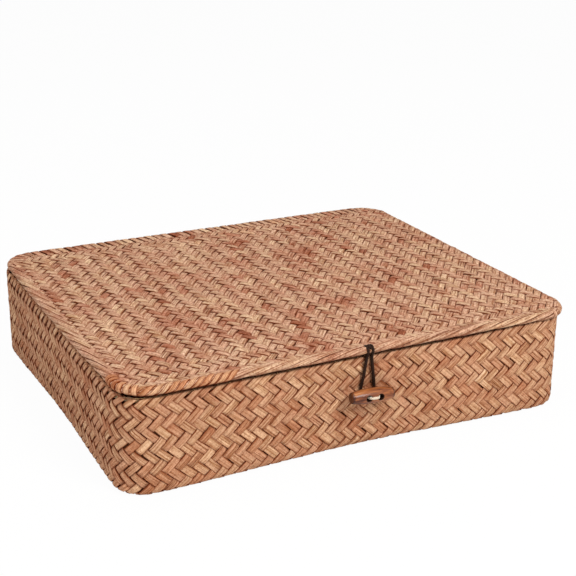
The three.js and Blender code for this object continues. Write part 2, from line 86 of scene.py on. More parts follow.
# The toggle, its thread and the loop
TOGGLE_X = 3 * MM
TOGGLE_HEIGHT = 43.2 * MM
TOGGLE_STANDOFF = 9.5 * MM
TOGGLE_LENGTH = 31.8 * MM
TOGGLE_RADIUS = 5 * MM
TOGGLE_END_RADIUS = 3.8 * MM
TOGGLE_EDGE = 0.8 * MM
TOGGLE_TAPER_POWER = 2.6
TOGGLE_HOLE_SPACING = 8.8 * MM
TOGGLE_HOLE_RADIUS = 1.65 * MM
TOGGLE_TILT = math.radians(2.6)
STITCH_THREAD = 2 * MM
STITCH_GAP = 0.5 * MM
STITCH_SINK = 1.2 * MM
KNOT_RADIUS = 1 * MM
KNOT_DEPTH = 1.25 * MM
KNOT_OPEN_SHARE = 0.02
LOOP_CORD = 2.3 * MM
LOOP_TOP_X = 3.4 * MM
LOOP_TOP_WIDTH = 4.4 * MM
LOOP_FOOT_WIDTH = 9.9 * MM
LOOP_FOOT_OFFSET = 1 * MM
LOOP_KNOT_WIDTH = 5.8 * MM

# The plait: strips in each direction round the box, the rise of half a cell, and the strip itself
STRIPS_AROUND = 145
ROW_STEP = 3.875 * MM
FIRST_ROW = -1.6625 * MM
STRIP_THICKNESS = 0.75 * MM
CELL = 5.7 * MM
GIRTH = 4 * (CORE_X + CORE_Y) + 2 * math.pi * CORNER_RADIUS
HALF_SPACING = GIRTH / STRIPS_AROUND / 2


# Finishes

class Nodes:
    """A node tree, with a short call for each kind of node that the finishes use."""

    def __init__(self, tree):
        self.tree = tree

    def add(self, kind, **settings):
        node = self.tree.nodes.new(kind)
        for name, value in settings.items():
            if name in node.inputs:
                node.inputs[name].default_value = value
            else:
                setattr(node, name, value)
        return node

    def feed(self, value, socket):
        if isinstance(value, bpy.types.NodeSocket):
            self.tree.links.new(value, socket)
        elif isinstance(value, tuple) and len(socket.default_value) == 4:
            socket.default_value = (*value, 1)
        else:
            socket.default_value = value

    def ramp(self, source, stops):
        node = self.add("ShaderNodeValToRGB")
        elements = node.color_ramp.elements
        while len(elements) < len(stops):
            elements.new(0.5)
        for element, (place, colour) in zip(elements, stops):
            element.position = place
            element.color = (*colour, 1)
        self.feed(source, node.inputs["Fac"])
        return node.outputs["Color"]

    def mix(self, kind, share, first, second):
        """Mixes two colours, whose sockets on this node are inputs 6 and 7 and output 2."""
        node = self.add("ShaderNodeMix", data_type="RGBA", blend_type=kind)
        self.feed(share, node.inputs["Factor"])
        self.feed(first, node.inputs[6])
        self.feed(second, node.inputs[7])
        return node.outputs[2]

    def calculate(self, operation, first, second):
        node = self.add("ShaderNodeMath", operation=operation)
        self.feed(first, node.inputs[0])
        self.feed(second, node.inputs[1])
        return node.outputs[0]

    def plus(self, first, second):
        return self.calculate("ADD", first, second)

    def minus(self, first, second):
        return self.calculate("SUBTRACT", first, second)

    def times(self, first, second):
        return self.calculate("MULTIPLY", first, second)

    def choose(self, share, first, second):
        node = self.add("ShaderNodeMixShader")
        for value, socket in zip((share, first, second), node.inputs):
            self.feed(value, socket)
        return node.outputs[0]

    def noise(self, place, scale, detail=2.0, roughness=0.5):
        node = self.add("ShaderNodeTexNoise", Scale=scale, Detail=detail, Roughness=roughness)
        self.feed(place, node.inputs["Vector"])
        return node.outputs["Fac"]

    def stretched(self, place, factors):
        node = self.add("ShaderNodeVectorMath", operation="MULTIPLY")
        self.feed(place, node.inputs[0])
        node.inputs[1].default_value = factors
        return node.outputs[0]

    def distance(self, place, target):
        node = self.add("ShaderNodeVectorMath", operation="DISTANCE")
        self.feed(place, node.inputs[0])
        node.inputs[1].default_value = target
        return node.outputs["Value"]

    def between(self, source, low, high, out_low=0.0, out_high=1.0):
        node = self.add("ShaderNodeMapRange", interpolation_type="SMOOTHSTEP")
        for name, value in zip(("From Min", "From Max", "To Min", "To Max"), (low, high, out_low, out_high)):
            node.inputs[name].default_value = value
        self.feed(source, node.inputs["Value"])
        return node.outputs["Result"]

    def mark(self, name):
        return self.add("ShaderNodeAttribute", attribute_name=name).outputs["Fac"]


class Finish(Nodes):
    """A new material with its shader."""

    def __init__(self, name):
        self.material = bpy.data.materials.new(name)
        self.material.use_nodes = True
        super().__init__(self.material.node_tree)
        self.shader = self.tree.nodes["Principled BSDF"]

    def put(self, label, value):
        self.feed(value, self.shader.inputs[label])

    def place(self):
        return self.add("ShaderNodeTexCoord").outputs["Object"]

    def bump(self, height, strength, distance):
        node = self.add("ShaderNodeBump", Strength=strength, Distance=distance)
        self.feed(height, node.inputs["Height"])
        self.put("Normal", node.outputs["Normal"])


GRAIN = [
    (0.36, (0.44, 0.26, 0.15)), (0.45, (0.8, 0.7, 0.6)), (0.52, (1.02, 1.01, 1.0)), (0.64, (1.3, 1.34, 1.34)),
]
SPECKS = [(0.36, (0.6, 0.46, 0.4)), (0.5, (1.0, 1.0, 1.0)), (0.66, (1.16, 1.17, 1.16))]
STRIP_RELIEF = 0.6 * MM
CORD_RELIEF = 0.15 * MM
FINE_RELIEF = 0.2 * MM
CREASE_TINT = (0.42, 0.24, 0.17)
BLOTCH_TINT = (0.82, 0.64, 0.56)
EDGE_SHADE_COLOUR = (0.19, 0.034, 0.006)
TUCK_SHADE_COLOUR = (0.1, 0.011, 0.0015)


def strip_finish(name, tones, edge_shade_share, edge_shade_from, patchy, mottled):
    """Dried plant strips, each in its own tone, with fibres and creases; painted shade darkens their edges
    and their ends where they tuck under.
    """
    strip = Finish(name)
    lengthwise = strip.add("ShaderNodeUVMap", uv_map="strip").outputs["UV"]
    place = strip.place()
    tone, wear, tuck, side = (strip.mark(label) for label in ("tone", "wear", "tuck", "side"))

    drift = strip.minus(strip.noise(strip.stretched(lengthwise, (70, 260, 1)), 1), 0.5)
    patches = strip.times(strip.minus(strip.noise(place, 30), 0.5), patchy)
    varied = strip.plus(strip.plus(tone, strip.times(drift, 0.5)), patches)
    colour = strip.ramp(varied, tones)

    ribs = strip.noise(strip.stretched(lengthwise, (26, 820, 1)), 1, 2, 0.65)
    fibres = strip.noise(strip.stretched(lengthwise, (90, 3600, 1)), 1, 3, 0.6)
    lines = strip.plus(strip.times(ribs, 0.65), strip.times(fibres, 0.35))
    colour = strip.mix("MULTIPLY", 1.0, colour, strip.ramp(lines, GRAIN))

    folds = strip.noise(strip.stretched(lengthwise, (9, 900, 1)), 1, 1)
    crease = strip.times(strip.between(folds, 0.56, 0.62), strip.between(wear, 0.62, 0.8))
    colour = strip.mix("MULTIPLY", strip.times(crease, 0.75), colour, CREASE_TINT)

    blotches = strip.noise(place, 70, 4, 0.65)
    colour = strip.mix("MULTIPLY", strip.between(blotches, 0.48, 0.7, 0, 0.7), colour, BLOTCH_TINT)
    specks = strip.noise(place, 620, 3, 0.65)
    colour = strip.mix("MULTIPLY", mottled, colour, strip.ramp(specks, SPECKS))

    # Painted shade: each strip darkens towards its edges, where the gaps between strips fall in shade.
    edge_shade = strip.times(strip.between(side, edge_shade_from, 0.98), edge_shade_share)
    colour = strip.mix("MIX", edge_shade, colour, EDGE_SHADE_COLOUR)
    # Painted shade: floats darken where they tuck under, on their undersides, and under the lid's edge.
    colour = strip.mix("MIX", strip.times(tuck, 0.95), colour, TUCK_SHADE_COLOUR)
    strip.put("Base Color", colour)
    strip.put("Specular IOR Level", 0.02)
    strip.put("Roughness", strip.between(lines, 0.3, 0.7, 0.5, 0.75))
    strip.bump(strip.minus(lines, strip.times(crease, 0.45)), 0.55, STRIP_RELIEF)
    return strip.material


WALL_TONES = [
    (0.0, (0.3, 0.1, 0.05)), (0.14, (0.415, 0.175, 0.093)), (0.3, (0.485, 0.238, 0.134)),
    (0.46, (0.51, 0.272, 0.165)), (0.6, (0.525, 0.302, 0.184)), (0.76, (0.58, 0.35, 0.21)),
    (1.0, (0.69, 0.455, 0.29)),
]
LID_TONES = [
    (0.0, (0.33, 0.125, 0.07)), (0.16, (0.455, 0.22, 0.143)), (0.34, (0.53, 0.31, 0.21)),
    (0.55, (0.555, 0.35, 0.24)), (0.75, (0.59, 0.39, 0.257)), (1.0, (0.65, 0.45, 0.295)),
]
BINDING_TONES = [
    (0.0, (0.38, 0.14, 0.065)), (0.3, (0.54, 0.255, 0.135)), (0.6, (0.58, 0.33, 0.19)),
    (1.0, (0.7, 0.46, 0.3)),
]
LINING_TONES = [
    (0.0, (0.42, 0.22, 0.115)), (0.3, (0.55, 0.33, 0.18)), (0.6, (0.62, 0.4, 0.225)),
    (1.0, (0.74, 0.53, 0.32)),
]
wall_strips = strip_finish("wall strips", WALL_TONES, 0.7, 0.66, 0.5, 0.55)
lid_strips = strip_finish("lid strips", LID_TONES, 0.6, 0.64, 1.1, 0.9)
binding_strips = strip_finish("binding strips", BINDING_TONES, 1.0, 0.5, 0.6, 0.6)
lining_strips = strip_finish("lining strips", LINING_TONES, 0.6, 0.62, 0.4, 0.4)


def cord_finish(name, dark, light, roughness, specular):
    """Twisted cord, with fine fibres, painted darker between the strands as shade and lighter on them."""
    cord = Finish(name)
    place = cord.place()
    fibres = cord.noise(place, 2600, 3, 0.65)
    worn = cord.noise(place, 320)
    # Painted shade: the valleys between the strands are darker, the crests lighter.
    ridge = cord.between(cord.mark("ridge"), 0.1, 0.9)
    shade = cord.plus(cord.times(fibres, 0.55), cord.times(ridge, 0.5))
    shade = cord.plus(shade, cord.times(cord.minus(worn, 0.5), 0.5))
    cord.put("Base Color", cord.ramp(shade, [(0.2, dark), (0.85, light)]))
    cord.put("Roughness", cord.between(fibres, 0.3, 0.7, roughness - 0.1, roughness + 0.1))
    cord.put("Specular IOR Level", specular)
    cord.bump(fibres, 0.5, CORD_RELIEF)
    return cord.material


dark_cord = cord_finish("waxed dark cord", (0.005, 0.002, 0.0012), (0.032, 0.013, 0.007), 0.55, 0.1)
pale_cord = cord_finish("pale twisted cord", (0.22, 0.11, 0.055), (0.58, 0.35, 0.2), 0.75, 0.2)
cream_thread = cord_finish("cream thread", (0.42, 0.3, 0.2), (0.86, 0.76, 0.62), 0.8, 0.2)

WOOD_TONES = [
    (0.34, (0.06, 0.014, 0.006)), (0.47, (0.19, 0.054, 0.018)), (0.58, (0.33, 0.11, 0.034)),
    (0.72, (0.45, 0.18, 0.056)),
]
DARK_END_TINT = (0.22, 0.16, 0.15)
HOLE_SHADE_COLOUR = (0.012, 0.004, 0.002)
HOLE_SHADE_SHARES = (1.4, 1.56)


def turned_wood():
    """Varnished red-brown wood with grain along the barrel, dark ends, and painted shade in the mouths of its
    holes.
    """
    wood = Finish("varnished toggle wood")
    place = wood.place()
    grain = wood.noise(wood.stretched(place, (70, 900, 900)), 1, 4, 0.6)
    figure = wood.noise(wood.stretched(place, (45, 260, 260)), 1)
    colour = wood.ramp(wood.plus(wood.times(grain, 0.5), wood.times(figure, 0.5)), WOOD_TONES)
    colour = wood.mix("MULTIPLY", wood.between(wood.mark("end"), 0.2, 0.9, 0, 0.85), colour, DARK_END_TINT)
    flat = wood.stretched(place, (1, 0, 1))
    # Painted shade: the mouths of the holes are painted near black.
    inner, outer = (TOGGLE_HOLE_RADIUS * share for share in HOLE_SHADE_SHARES)
    for side in (-1, 1):
        reach = side * TOGGLE_HOLE_SPACING / 2
        hole_x = TOGGLE_X + reach * math.cos(TOGGLE_TILT)
        hole_z = TOGGLE_HEIGHT - reach * math.sin(TOGGLE_TILT)
        hole_shade = wood.between(wood.distance(flat, (hole_x, 0, hole_z)), inner, outer, 0.95, 0.0)
        colour = wood.mix("MIX", hole_shade, colour, HOLE_SHADE_COLOUR)
    wood.put("Base Color", colour)
    wood.put("Roughness", wood.between(grain, 0.35, 0.65, 0.28, 0.4))
    wood.put("Specular IOR Level", 0.15)
    wood.put("Coat Weight", 0.28)
    wood.put("Coat Roughness", 0.18)
    wood.bump(grain, 0.12, FINE_RELIEF)
    return wood.material


def card_finish():
    card = Finish("card with gap shade")
    flecks = card.noise(card.place(), 900, 4, 0.7)
    # Painted shade: the card is coloured darker and redder than card, to stand for the shade in the gaps
    # between strips where it shows through.
    tones = [(0.3, (0.07, 0.02, 0.008)), (0.55, (0.13, 0.045, 0.018)), (0.75, (0.18, 0.08, 0.04))]
    card.put("Base Color", card.ramp(flecks, tones))
    card.put("Roughness", 0.92)
    card.put("Specular IOR Level", 0.05)
    card.bump(flecks, 0.4, FINE_RELIEF)
    return card.material


def cane_finish():
    cane = Finish("split cane")
    place = cane.place()
    pores = cane.noise(place, 1500, 3, 0.6)
    bands = cane.noise(place, 60)
    shade = cane.plus(cane.times(pores, 0.5), cane.times(bands, 0.5))
    cane.put("Base Color", cane.ramp(shade, [(0.35, (0.3, 0.17, 0.075)), (0.6, (0.52, 0.33, 0.15))]))
    cane.put("Roughness", cane.between(pores, 0.3, 0.7, 0.4, 0.6))
    cane.bump(pores, 0.25, FINE_RELIEF)
    return cane.material


toggle_wood = turned_wood()
card_with_gap_shade = card_finish()
split_cane = cane_finish()


# Faces of the box that the strips lie on

def walk_round(run, corners, turn, first_quarter, lead=0):
    """Core points and outward angles at runs along four sides, with a quarter turn after each."""
    corners = np.array([*corners, corners[0]])
    sides = np.linalg.norm(np.diff(corners, axis=0), axis=1)
    starts = np.concatenate([[0], np.cumsum(sides + turn)])
    run = np.mod(run + lead, starts[-1]) - lead
    side = np.clip(np.searchsorted(starts, run, side="right") - 1, 0, 3)
    rest = run - starts[side]
    straight = np.clip(rest / sides[side], 0, 1)
    bend = np.clip((rest - sides[side]) / turn, 0, 1) + np.where(run < 0, run / turn, 0)
    core = corners[side] * (1 - straight)[:, None] + corners[side + 1] * straight[:, None]
    return core, (first_quarter + side + bend) * math.pi / 2, side, straight


WALL_CORNERS = [(-CORE_X, -CORE_Y), (CORE_X, -CORE_Y), (CORE_X, CORE_Y), (-CORE_X, CORE_Y)]
WALL_TURN = CORNER_RADIUS * math.pi / 2


def walk_outline(run):
    """Core point, outward direction, foot swell and bow share at runs from the left end of the front."""
    core, angle, side, straight = walk_round(run, WALL_CORNERS, WALL_TURN, -1)
    swell = np.sin(np.pi * straight) ** 2
    share = swell * np.where(side % 2 == 1, SHORT_SIDE_BOW_SHARE, 1)
    return core[:, 0], core[:, 1], np.cos(angle), np.sin(angle), swell, share


CROWN_BASE = RIM_HEIGHT - FOLD_CROWN
CROWN_ARC_SHARE = 0.8
CROWN_LENGTH = math.pi * WALL / 2 * CROWN_ARC_SHARE
FRONT_DROP = 0.9 * MM
SEAM_START = 128 * MM
SEAM_FADE = 8 * MM
SEAM_NARROWS = 60 * MM
SEAM_NARROWING = 95 * MM
RIGHT_SEAM_SHARE = 0.85
OPEN_SEAM_CROWN_SHARE = 0.8
CROWN_SINK_SHARE = 0.5


def ease(x):
    x = np.clip(x, 0, 1)
    return x * x * (3 - 2 * x)


def seam_gap(x, y):
    """How open the seam under the lid is: wide along the front, narrower to the right, shut elsewhere."""
    front = ease((-y - SEAM_START) / SEAM_FADE)
    return front * (1 - RIGHT_SEAM_SHARE * ease((x - SEAM_NARROWS) / SEAM_NARROWING))


def on_wall(run, rise, sink):
    """Points of the wall. Rise runs up the outside, over the rim, and down inside to the floor."""
    core_x, core_y, out_x, out_y, swell, share = walk_outline(run)
    foot = CORNER_FOOT_RADIUS + (MID_SIDE_FOOT_RADIUS - CORNER_FOOT_RADIUS) * swell

    turn = np.clip((foot - rise) / foot, 0, math.pi / 2)
    under = np.maximum(0, (1 - math.pi / 2) * foot - rise)
    outer_depth = foot - (foot - sink) * np.cos(turn) + under
    outer_height = np.where(rise < foot, foot - (foot - sink) * np.sin(turn), rise)

    gap = seam_gap(core_x + out_x * CORNER_RADIUS, core_y + out_y * CORNER_RADIUS)
    crown_base = CROWN_BASE - FRONT_DROP * gap
    over = np.clip((rise - crown_base) / CROWN_LENGTH, 0, 1) * math.pi
    crown_depth = WALL / 2 - (WALL / 2 - sink) * np.cos(over)
    crown = FOLD_CROWN * (1 - OPEN_SEAM_CROWN_SHARE * gap) - sink * CROWN_SINK_SHARE
    crown_height = crown_base + crown * np.sin(over)

    inner_rise = 2 * crown_base + CROWN_LENGTH - rise
    inner_foot = foot - WALL
    inner_turn = np.clip((WALL + inner_foot - inner_rise) / inner_foot, 0, math.pi / 2)
    inner_under = np.maximum(0, WALL + (1 - math.pi / 2) * inner_foot - inner_rise)
    inner_depth = foot - (inner_foot + sink) * np.cos(inner_turn) + inner_under
    bent_height = foot - (inner_foot + sink) * np.sin(inner_turn)
    inner_height = np.where(inner_turn > 0, bent_height, inner_rise)

    outside = rise < crown_base
    inside = rise > crown_base + CROWN_LENGTH
    depth = np.where(outside, outer_depth, np.where(inside, inner_depth, crown_depth))
    height = np.where(outside, outer_height, np.where(inside, inner_height, crown_height))
    bow = FOOT_BOW + (RIM_BOW - FOOT_BOW) * height / RIM_HEIGHT
    reach = CORNER_RADIUS - depth - bow * share
    return np.stack([core_x + out_x * reach, core_y + out_y * reach, height], -1)


def beyond_outline(x, y, radius, left_core=-CORE_X):
    """How far points lie outside a rounded outline, with their nearest core points and outward directions."""
    core_x, core_y = np.clip(x, left_core, CORE_X), np.clip(y, -CORE_Y, CORE_Y)
    away_x, away_y = x - core_x, y - core_y
    away = np.maximum(np.hypot(away_x, away_y), 1e-9)
    return away - radius, core_x, core_y, away_x / away, away_y / away


LID_LEFT_CORE = -CORE_X + LID_LEFT_SETBACK


def round_curl(core_x, core_y, out_x, out_y, beyond, sink):
    """Points of the lid's edge, by how far the mat runs past the line where it starts to curl."""
    turn = np.clip(beyond / CURL_RADIUS, 0, math.pi)
    flat = np.minimum(beyond, 0)
    under = np.maximum(0, beyond - math.pi * CURL_RADIUS)
    reach = LID_FLAT + flat + (CURL_RADIUS - sink) * np.sin(turn) - under
    height = CURL_HEIGHT + (CURL_RADIUS - sink) * np.cos(turn)
    return np.stack([core_x + out_x * reach, core_y + out_y * reach, height], -1)


def on_lid(x, y, sink):
    """Points of the lid's mat: flat on top, then round the cane and back under it."""
    beyond, core_x, core_y, out_x, out_y = beyond_outline(x, y, LID_FLAT, LID_LEFT_CORE)
    edge = round_curl(core_x, core_y, out_x, out_y, np.maximum(beyond, 0), sink)
    top = np.stack([x, y, CURL_HEIGHT + CURL_RADIUS - sink], -1)
    return np.where((beyond <= 0)[:, None], top, edge)


LID_CORNERS = [(LID_LEFT_CORE, CORE_Y), (LID_LEFT_CORE, -CORE_Y), (CORE_X, -CORE_Y), (CORE_X, CORE_Y)]
LID_TURN = LID_FLAT * math.pi / 2
LID_DEPTH = 2 * CORE_Y
LID_WIDTH = CORE_X - LID_LEFT_CORE
LEFT_SWELL = 1.1 * MM
LEFT_SWELL_FADE = 4 * MM


def on_lid_edge(run, beyond, sink):
    """Points of the lid's curled edge. Run goes from the back left corner down the left side, then round."""
    core, angle, side, straight = walk_round(run, LID_CORNERS, LID_TURN, 2, LID_TURN / 2)
    middle = np.where(side == 0, ease(3 * straight) * ease(3 - 3 * straight), 0)
    core[:, 0] -= LEFT_SWELL * middle * ease(1 + beyond / LEFT_SWELL_FADE)
    return round_curl(core[:, 0], core[:, 1], np.cos(angle), np.sin(angle), beyond, sink)


# One float: the stretch of a strip that lies over its neighbours and tucks under at both ends

TUCK = 0.34
END_RINGS = (-TUCK, -0.16, 0.02, 0.22, 0.5)
FIXED_RINGS = 2 * len(END_RINGS) - 1
TOP_WIDTH_SHARE = 0.94


def new_shape(add, **settings):
    """Adds a shape with nothing else selected."""
    bpy.ops.object.select_all(action="DESELECT")
    add(**settings)
    return bpy.context.object


def points_of(mesh):
    points = np.zeros(len(mesh.vertices) * 3)
    mesh.vertices.foreach_get("co", points)
    return points.reshape(-1, 3)


def mark_points(piece, label, values):
    piece.data.attributes.new(label, "FLOAT", "POINT").data.foreach_set("value", values.astype(np.float32))


def model_float(name, middle_rings):
    """A flat strip, modelled once for each number of cuts along it, with its top a little narrower."""
    rings = middle_rings + FIXED_RINGS
    grid = bpy.ops.mesh.primitive_grid_add
    strip = new_shape(grid, x_subdivisions=rings, y_subdivisions=2, size=1, location=(0.5, 0, 0))
    strip.name = name
    bpy.ops.object.transform_apply(location=True)
    bpy.ops.object.mode_set(mode="EDIT")
    bpy.ops.mesh.select_all(action="SELECT")
    bpy.ops.mesh.extrude_region_move(TRANSFORM_OT_translate={"value": (0, 0, -1)})
    bpy.ops.object.mode_set(mode="OBJECT")
    mesh = bpy.data.meshes.new_from_object(strip)
    bpy.data.objects.remove(strip)
    points = points_of(mesh)
    top = points[:, 2] > -0.5
    middle = np.abs(points[:, 1]) < 0.1
    points[top & ~middle, 1] *= TOP_WIDTH_SHARE
    points[:, 2] = np.where(top, 0, 1)
    faces = [tuple(face.vertices) for face in mesh.polygons]
    ring = np.rint(points[:, 0] * rings).astype(int)
    return {"ring": ring, "rings": rings, "across": points[:, 1], "under": points[:, 2], "faces": faces}


# The longest float in cells that each number of cuts is used for
CUTS_BY_LENGTH = ((2.6, 0), (5.2, 4), (9, 9), (math.inf, 26))
FLOATS = {cuts: model_float(f"float_{cuts}", cuts) for _, cuts in CUTS_BY_LENGTH}

# How far single floats stray from the mean: heights in metres, the rest in cells or shares of a strip's width
HEIGHT_SPREAD = 0.07 * MM
TILT_SPREAD = 0.22 * MM
WIDTH_SPREAD_SHARE = 0.035
PLACE_SPREAD_SHARE = 0.03
END_SPREAD = 0.05
TONE_SPREAD_SHARE = 0.75
WEAR_SPREAD_SHARE = 0.25

# Where a float bends down at its ends, is painted darker as shade, and is drawn in, in cells
BEND_LEAD = 0.25
TUCK_SHADE_LEAD = 0.2
TUCK_SHADE_REACH = 0.28
DRAWN_IN_TUCK_SHADE_REACH = 1.6
WAIST_LEAD = 0.1
WAIST_REACH = 1.9

# How much of its pillow a float has all over, and how much more along its middle
EDGE_PILLOW_SHARE = 0.65
MIDDLE_PILLOW_SHARE = 0.35

# How the pattern of the fibres is shifted from float to float and from strip to strip
GRAIN_JITTER = 0.3
GRAIN_SHIFT_SHARE = 0.37


class Plait:
    """Gathers the floats of one mat, and lays the modelled float out for each."""

    def __init__(self, seed, to_surface, tone, spread, widths=(0.9, 1.0), dip=1.15, pillow=0.22, proud=0.22,
                 slope=0.55, fewest=0, gloom=None, darkest=(0.5, 1.0), groove=0.1, waist=0.0):
        self.dice = np.random.default_rng(seed)
        self.to_surface = to_surface
        self.tone, self.spread, self.widths = tone, spread, widths
        self.dip, self.pillow, self.proud, self.groove = dip * MM, pillow * MM, proud * MM, groove * MM
        self.slope, self.fewest, self.gloom, self.darkest, self.waist = slope, fewest, gloom, darkest, waist
        self.strips = {}
        self.floats = []

    def add(self, rising, lane, start, end, narrow=1.0):
        if (rising, lane) not in self.strips:
            tone = self.dice.normal(0, 0.5)
            width = self.dice.uniform(*self.widths)
            self.strips[rising, lane] = (tone, width, self.dice.uniform(0, 4))
        self.floats.append((rising, lane, start, end, narrow, *self.strips[rising, lane]))

    def lay(self, shape, members):
        """Points and marks of the modelled float, laid out for every member."""
        columns = (column[:, None] for column in np.array(members, float).T)
        rising, lane, start, end, narrow, own_tone, own_width, offset = columns
        count = len(members)
        depths = self.dice.uniform(*self.darkest, (count, 2))
        dice = self.dice.normal(0, 1, (count, 7))
        jitter = [dice[:, index:index + 1] for index in range(7)]
        start, end = start + END_SPREAD * jitter[0], end + END_SPREAD * jitter[1]
        length = end - start
        ends = np.array(END_RINGS)
        middles = np.linspace(0, 1, shape["rings"] - FIXED_RINGS + 2)[1:-1]
        inner = start + ends[-1] + (length - 2 * ends[-1]) * middles[None]
        stations = np.concatenate([start + ends[None], inner, end - ends[::-1][None]], axis=1)
        along = stations[:, shape["ring"]]
        near = np.minimum(along - start, end - along)
        first_half = along - start < end - along
        across = shape["across"][None] * own_width * narrow * (1 + WIDTH_SPREAD_SHARE * jitter[2])
        drawn = 1 - ease((along - start + WAIST_LEAD) / WAIST_REACH)
        across = across * (1 - self.waist * (narrow < 1) * drawn)
        turned = jitter[4] * np.clip(along - (start + end) / 2, -2, 2)
        skewed = across + PLACE_SPREAD_SHARE * jitter[3] + PLACE_SPREAD_SHARE * turned
        under = shape["under"][None]
        crown = np.where(np.abs(shape["across"]) < 0.1, 1, 0)[None] * (1 - under)
        bulge = np.sin(np.pi * np.clip((along - start) / length, 0, 1))
        raised = bulge * (EDGE_PILLOW_SHARE + MIDDLE_PILLOW_SHARE * crown)
        sink = self.dip * (1 - ease((near + BEND_LEAD) / self.slope))
        sink = sink + self.proud - self.pillow * raised - self.groove * crown
        sink = sink + HEIGHT_SPREAD * jitter[5] + TILT_SPREAD * jitter[6] * across + STRIP_THICKNESS * under
        lanes = lane + 0.5 + skewed
        u, w = np.where(rising > 0, along, lanes), np.where(rising > 0, lanes, along)
        points = self.to_surface(u.ravel(), w.ravel(), sink.ravel())
        far = (along - start) * CELL + offset + GRAIN_JITTER * jitter[0]
        lengthwise = np.stack([far, skewed * CELL + offset * GRAIN_SHIFT_SHARE], -1)
        strays = TONE_SPREAD_SHARE * own_tone + TONE_SPREAD_SHARE * jitter[3]
        own = np.clip(self.tone + self.spread * strays, 0.02, 0.98)
        wear = np.clip(0.5 + WEAR_SPREAD_SHARE * jitter[6], 0, 1)
        depth = np.where(first_half, depths[:, :1], depths[:, 1:])
        # Painted shade: a float darkens towards each end where it tucks under, its underside is dark, and the
        # gloom function adds shade under the lid.
        tuck_shade_reach = TUCK_SHADE_REACH + DRAWN_IN_TUCK_SHADE_REACH * (1 - narrow)
        tuck = np.maximum(under, depth * (1 - ease((near + TUCK_SHADE_LEAD) / tuck_shade_reach)))
        if self.gloom:
            tuck = np.maximum(tuck, self.gloom(points).reshape(along.shape))
        side = np.abs(shape["across"])[None] * 2
        marks = {"tone": own, "wear": wear, "tuck": tuck, "side": side * (1 - under) + under}
        labels = {label: np.broadcast_to(values, along.shape).ravel() for label, values in marks.items()}
        return points, lengthwise.reshape(-1, 2), labels

    def build(self, name, finish, body, node):
        batches = {}
        for one in self.floats:
            length = one[3] - one[2]
            cuts = next(cuts for longest, cuts in CUTS_BY_LENGTH if length <= longest)
            batches.setdefault(max(cuts, self.fewest), []).append(one)
        points, loops, sizes, strips = [], [], [], []
        marks = {}
        base = 0
        for cuts, members in sorted(batches.items()):
            shape = FLOATS[cuts]
            laid, lengthwise, labels = self.lay(shape, members)
            for rising in (1, 0):
                chosen = np.array([index for index, member in enumerate(members) if member[0] == rising], int)
                if not len(chosen):
                    continue
                faces = self.facing_out(shape, laid.reshape(len(members), -1, 3)[chosen])
                corners = np.array([corner for face in faces for corner in face])
                loops.append((corners[None] + base + chosen[:, None] * len(shape["ring"])).ravel())
                sizes.append(np.tile([len(face) for face in faces], len(chosen)))
            points.append(laid)
            strips.append(lengthwise)
            for label, values in labels.items():
                marks.setdefault(label, []).append(values)
            base += len(laid)
        piece = mesh_piece(name, np.concatenate(points), np.concatenate(loops), np.concatenate(sizes))
        uv = piece.data.uv_layers.new(name="strip")
        uv.data.foreach_set("uv", np.concatenate(strips)[np.concatenate(loops)].ravel())
        for label, values in marks.items():
            mark_points(piece, label, np.concatenate(values))
        finish_piece(piece, finish, body, node, 50)

    @staticmethod
    def facing_out(shape, laid):
        """The float's faces, turned over if they face in on these floats."""
        laid = laid - laid.mean(axis=1, keepdims=True)
        volume = 0.0
        for face in shape["faces"]:
            for second, third in zip(face[1:], face[2:]):
                normal = np.cross(laid[:, second], laid[:, third])
                volume += float(np.einsum("ij,ij->", laid[:, face[0]], normal))
        return shape["faces"] if volume > 0 else [tuple(reversed(face)) for face in shape["faces"]]


def mesh_piece(name, points, loops, sizes):
    mesh = bpy.data.meshes.new(name)
    mesh.vertices.add(len(points))
    mesh.vertices.foreach_set("co", points.ravel())
    mesh.loops.add(len(loops))
    mesh.loops.foreach_set("vertex_index", loops.astype(np.int32))
    mesh.polygons.add(len(sizes))
    mesh.polygons.foreach_set("loop_start", np.concatenate([[0], np.cumsum(sizes)[:-1]]).astype(np.int32))
    mesh.update(calc_edges=True)
    mesh.validate()
    piece = bpy.data.objects.new(name, mesh)
    bpy.context.scene.collection.objects.link(piece)
    return piece


def select_only(piece):
    bpy.ops.object.select_all(action="DESELECT")
    piece.select_set(True)
    bpy.context.view_layer.objects.active = piece


def finish_piece(piece, finish, body, node, smooth_degrees):
    select_only(piece)
    bpy.ops.object.shade_smooth_by_angle(angle=math.radians(smooth_degrees))
    piece.data.materials.clear()
    piece.data.materials.append(finish)
    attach(piece, body)
    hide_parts(node)


# The basket's plaits

# Levels of the wall where its plaits begin: half cells up the outside, over the rim and down inside
RIM_LEVEL = 16
LINING_LEVEL = 22
FLOOR_LEVEL = 36

# The left side's strips are drawn in, so that dark slits show there. So are a few of the front's at the rim.
LEFT_SIDE_LEAD = 1.6 * CORNER_RADIUS
LEFT_WIDTH_SHARE = 0.9
LEFT_RIM_WIDTH_SHARE = 0.95
NARROW_RIM_STRIPS = range(10, 14)
NARROW_RIM_WIDTH_SHARE = 0.76

RIM_SHADE_LEAD = 0.1 * MM
RIM_SHADE_FADE = 0.8 * MM
RIM_SHADE_SHARE = 0.7


def on_wall_cells(u, w, sink):
    return on_wall((u - w) * HALF_SPACING, (u + w) * ROW_STEP + FIRST_ROW, sink)


def on_left_side(rising, strip, level):
    """Whether a strip is on the left side, or turning into it, at a level of the wall."""
    run = HALF_SPACING * ((level - 2 * strip) if rising else (2 * strip - level)) % GIRTH
    return run > GIRTH - 2 * CORE_Y - LEFT_SIDE_LEAD


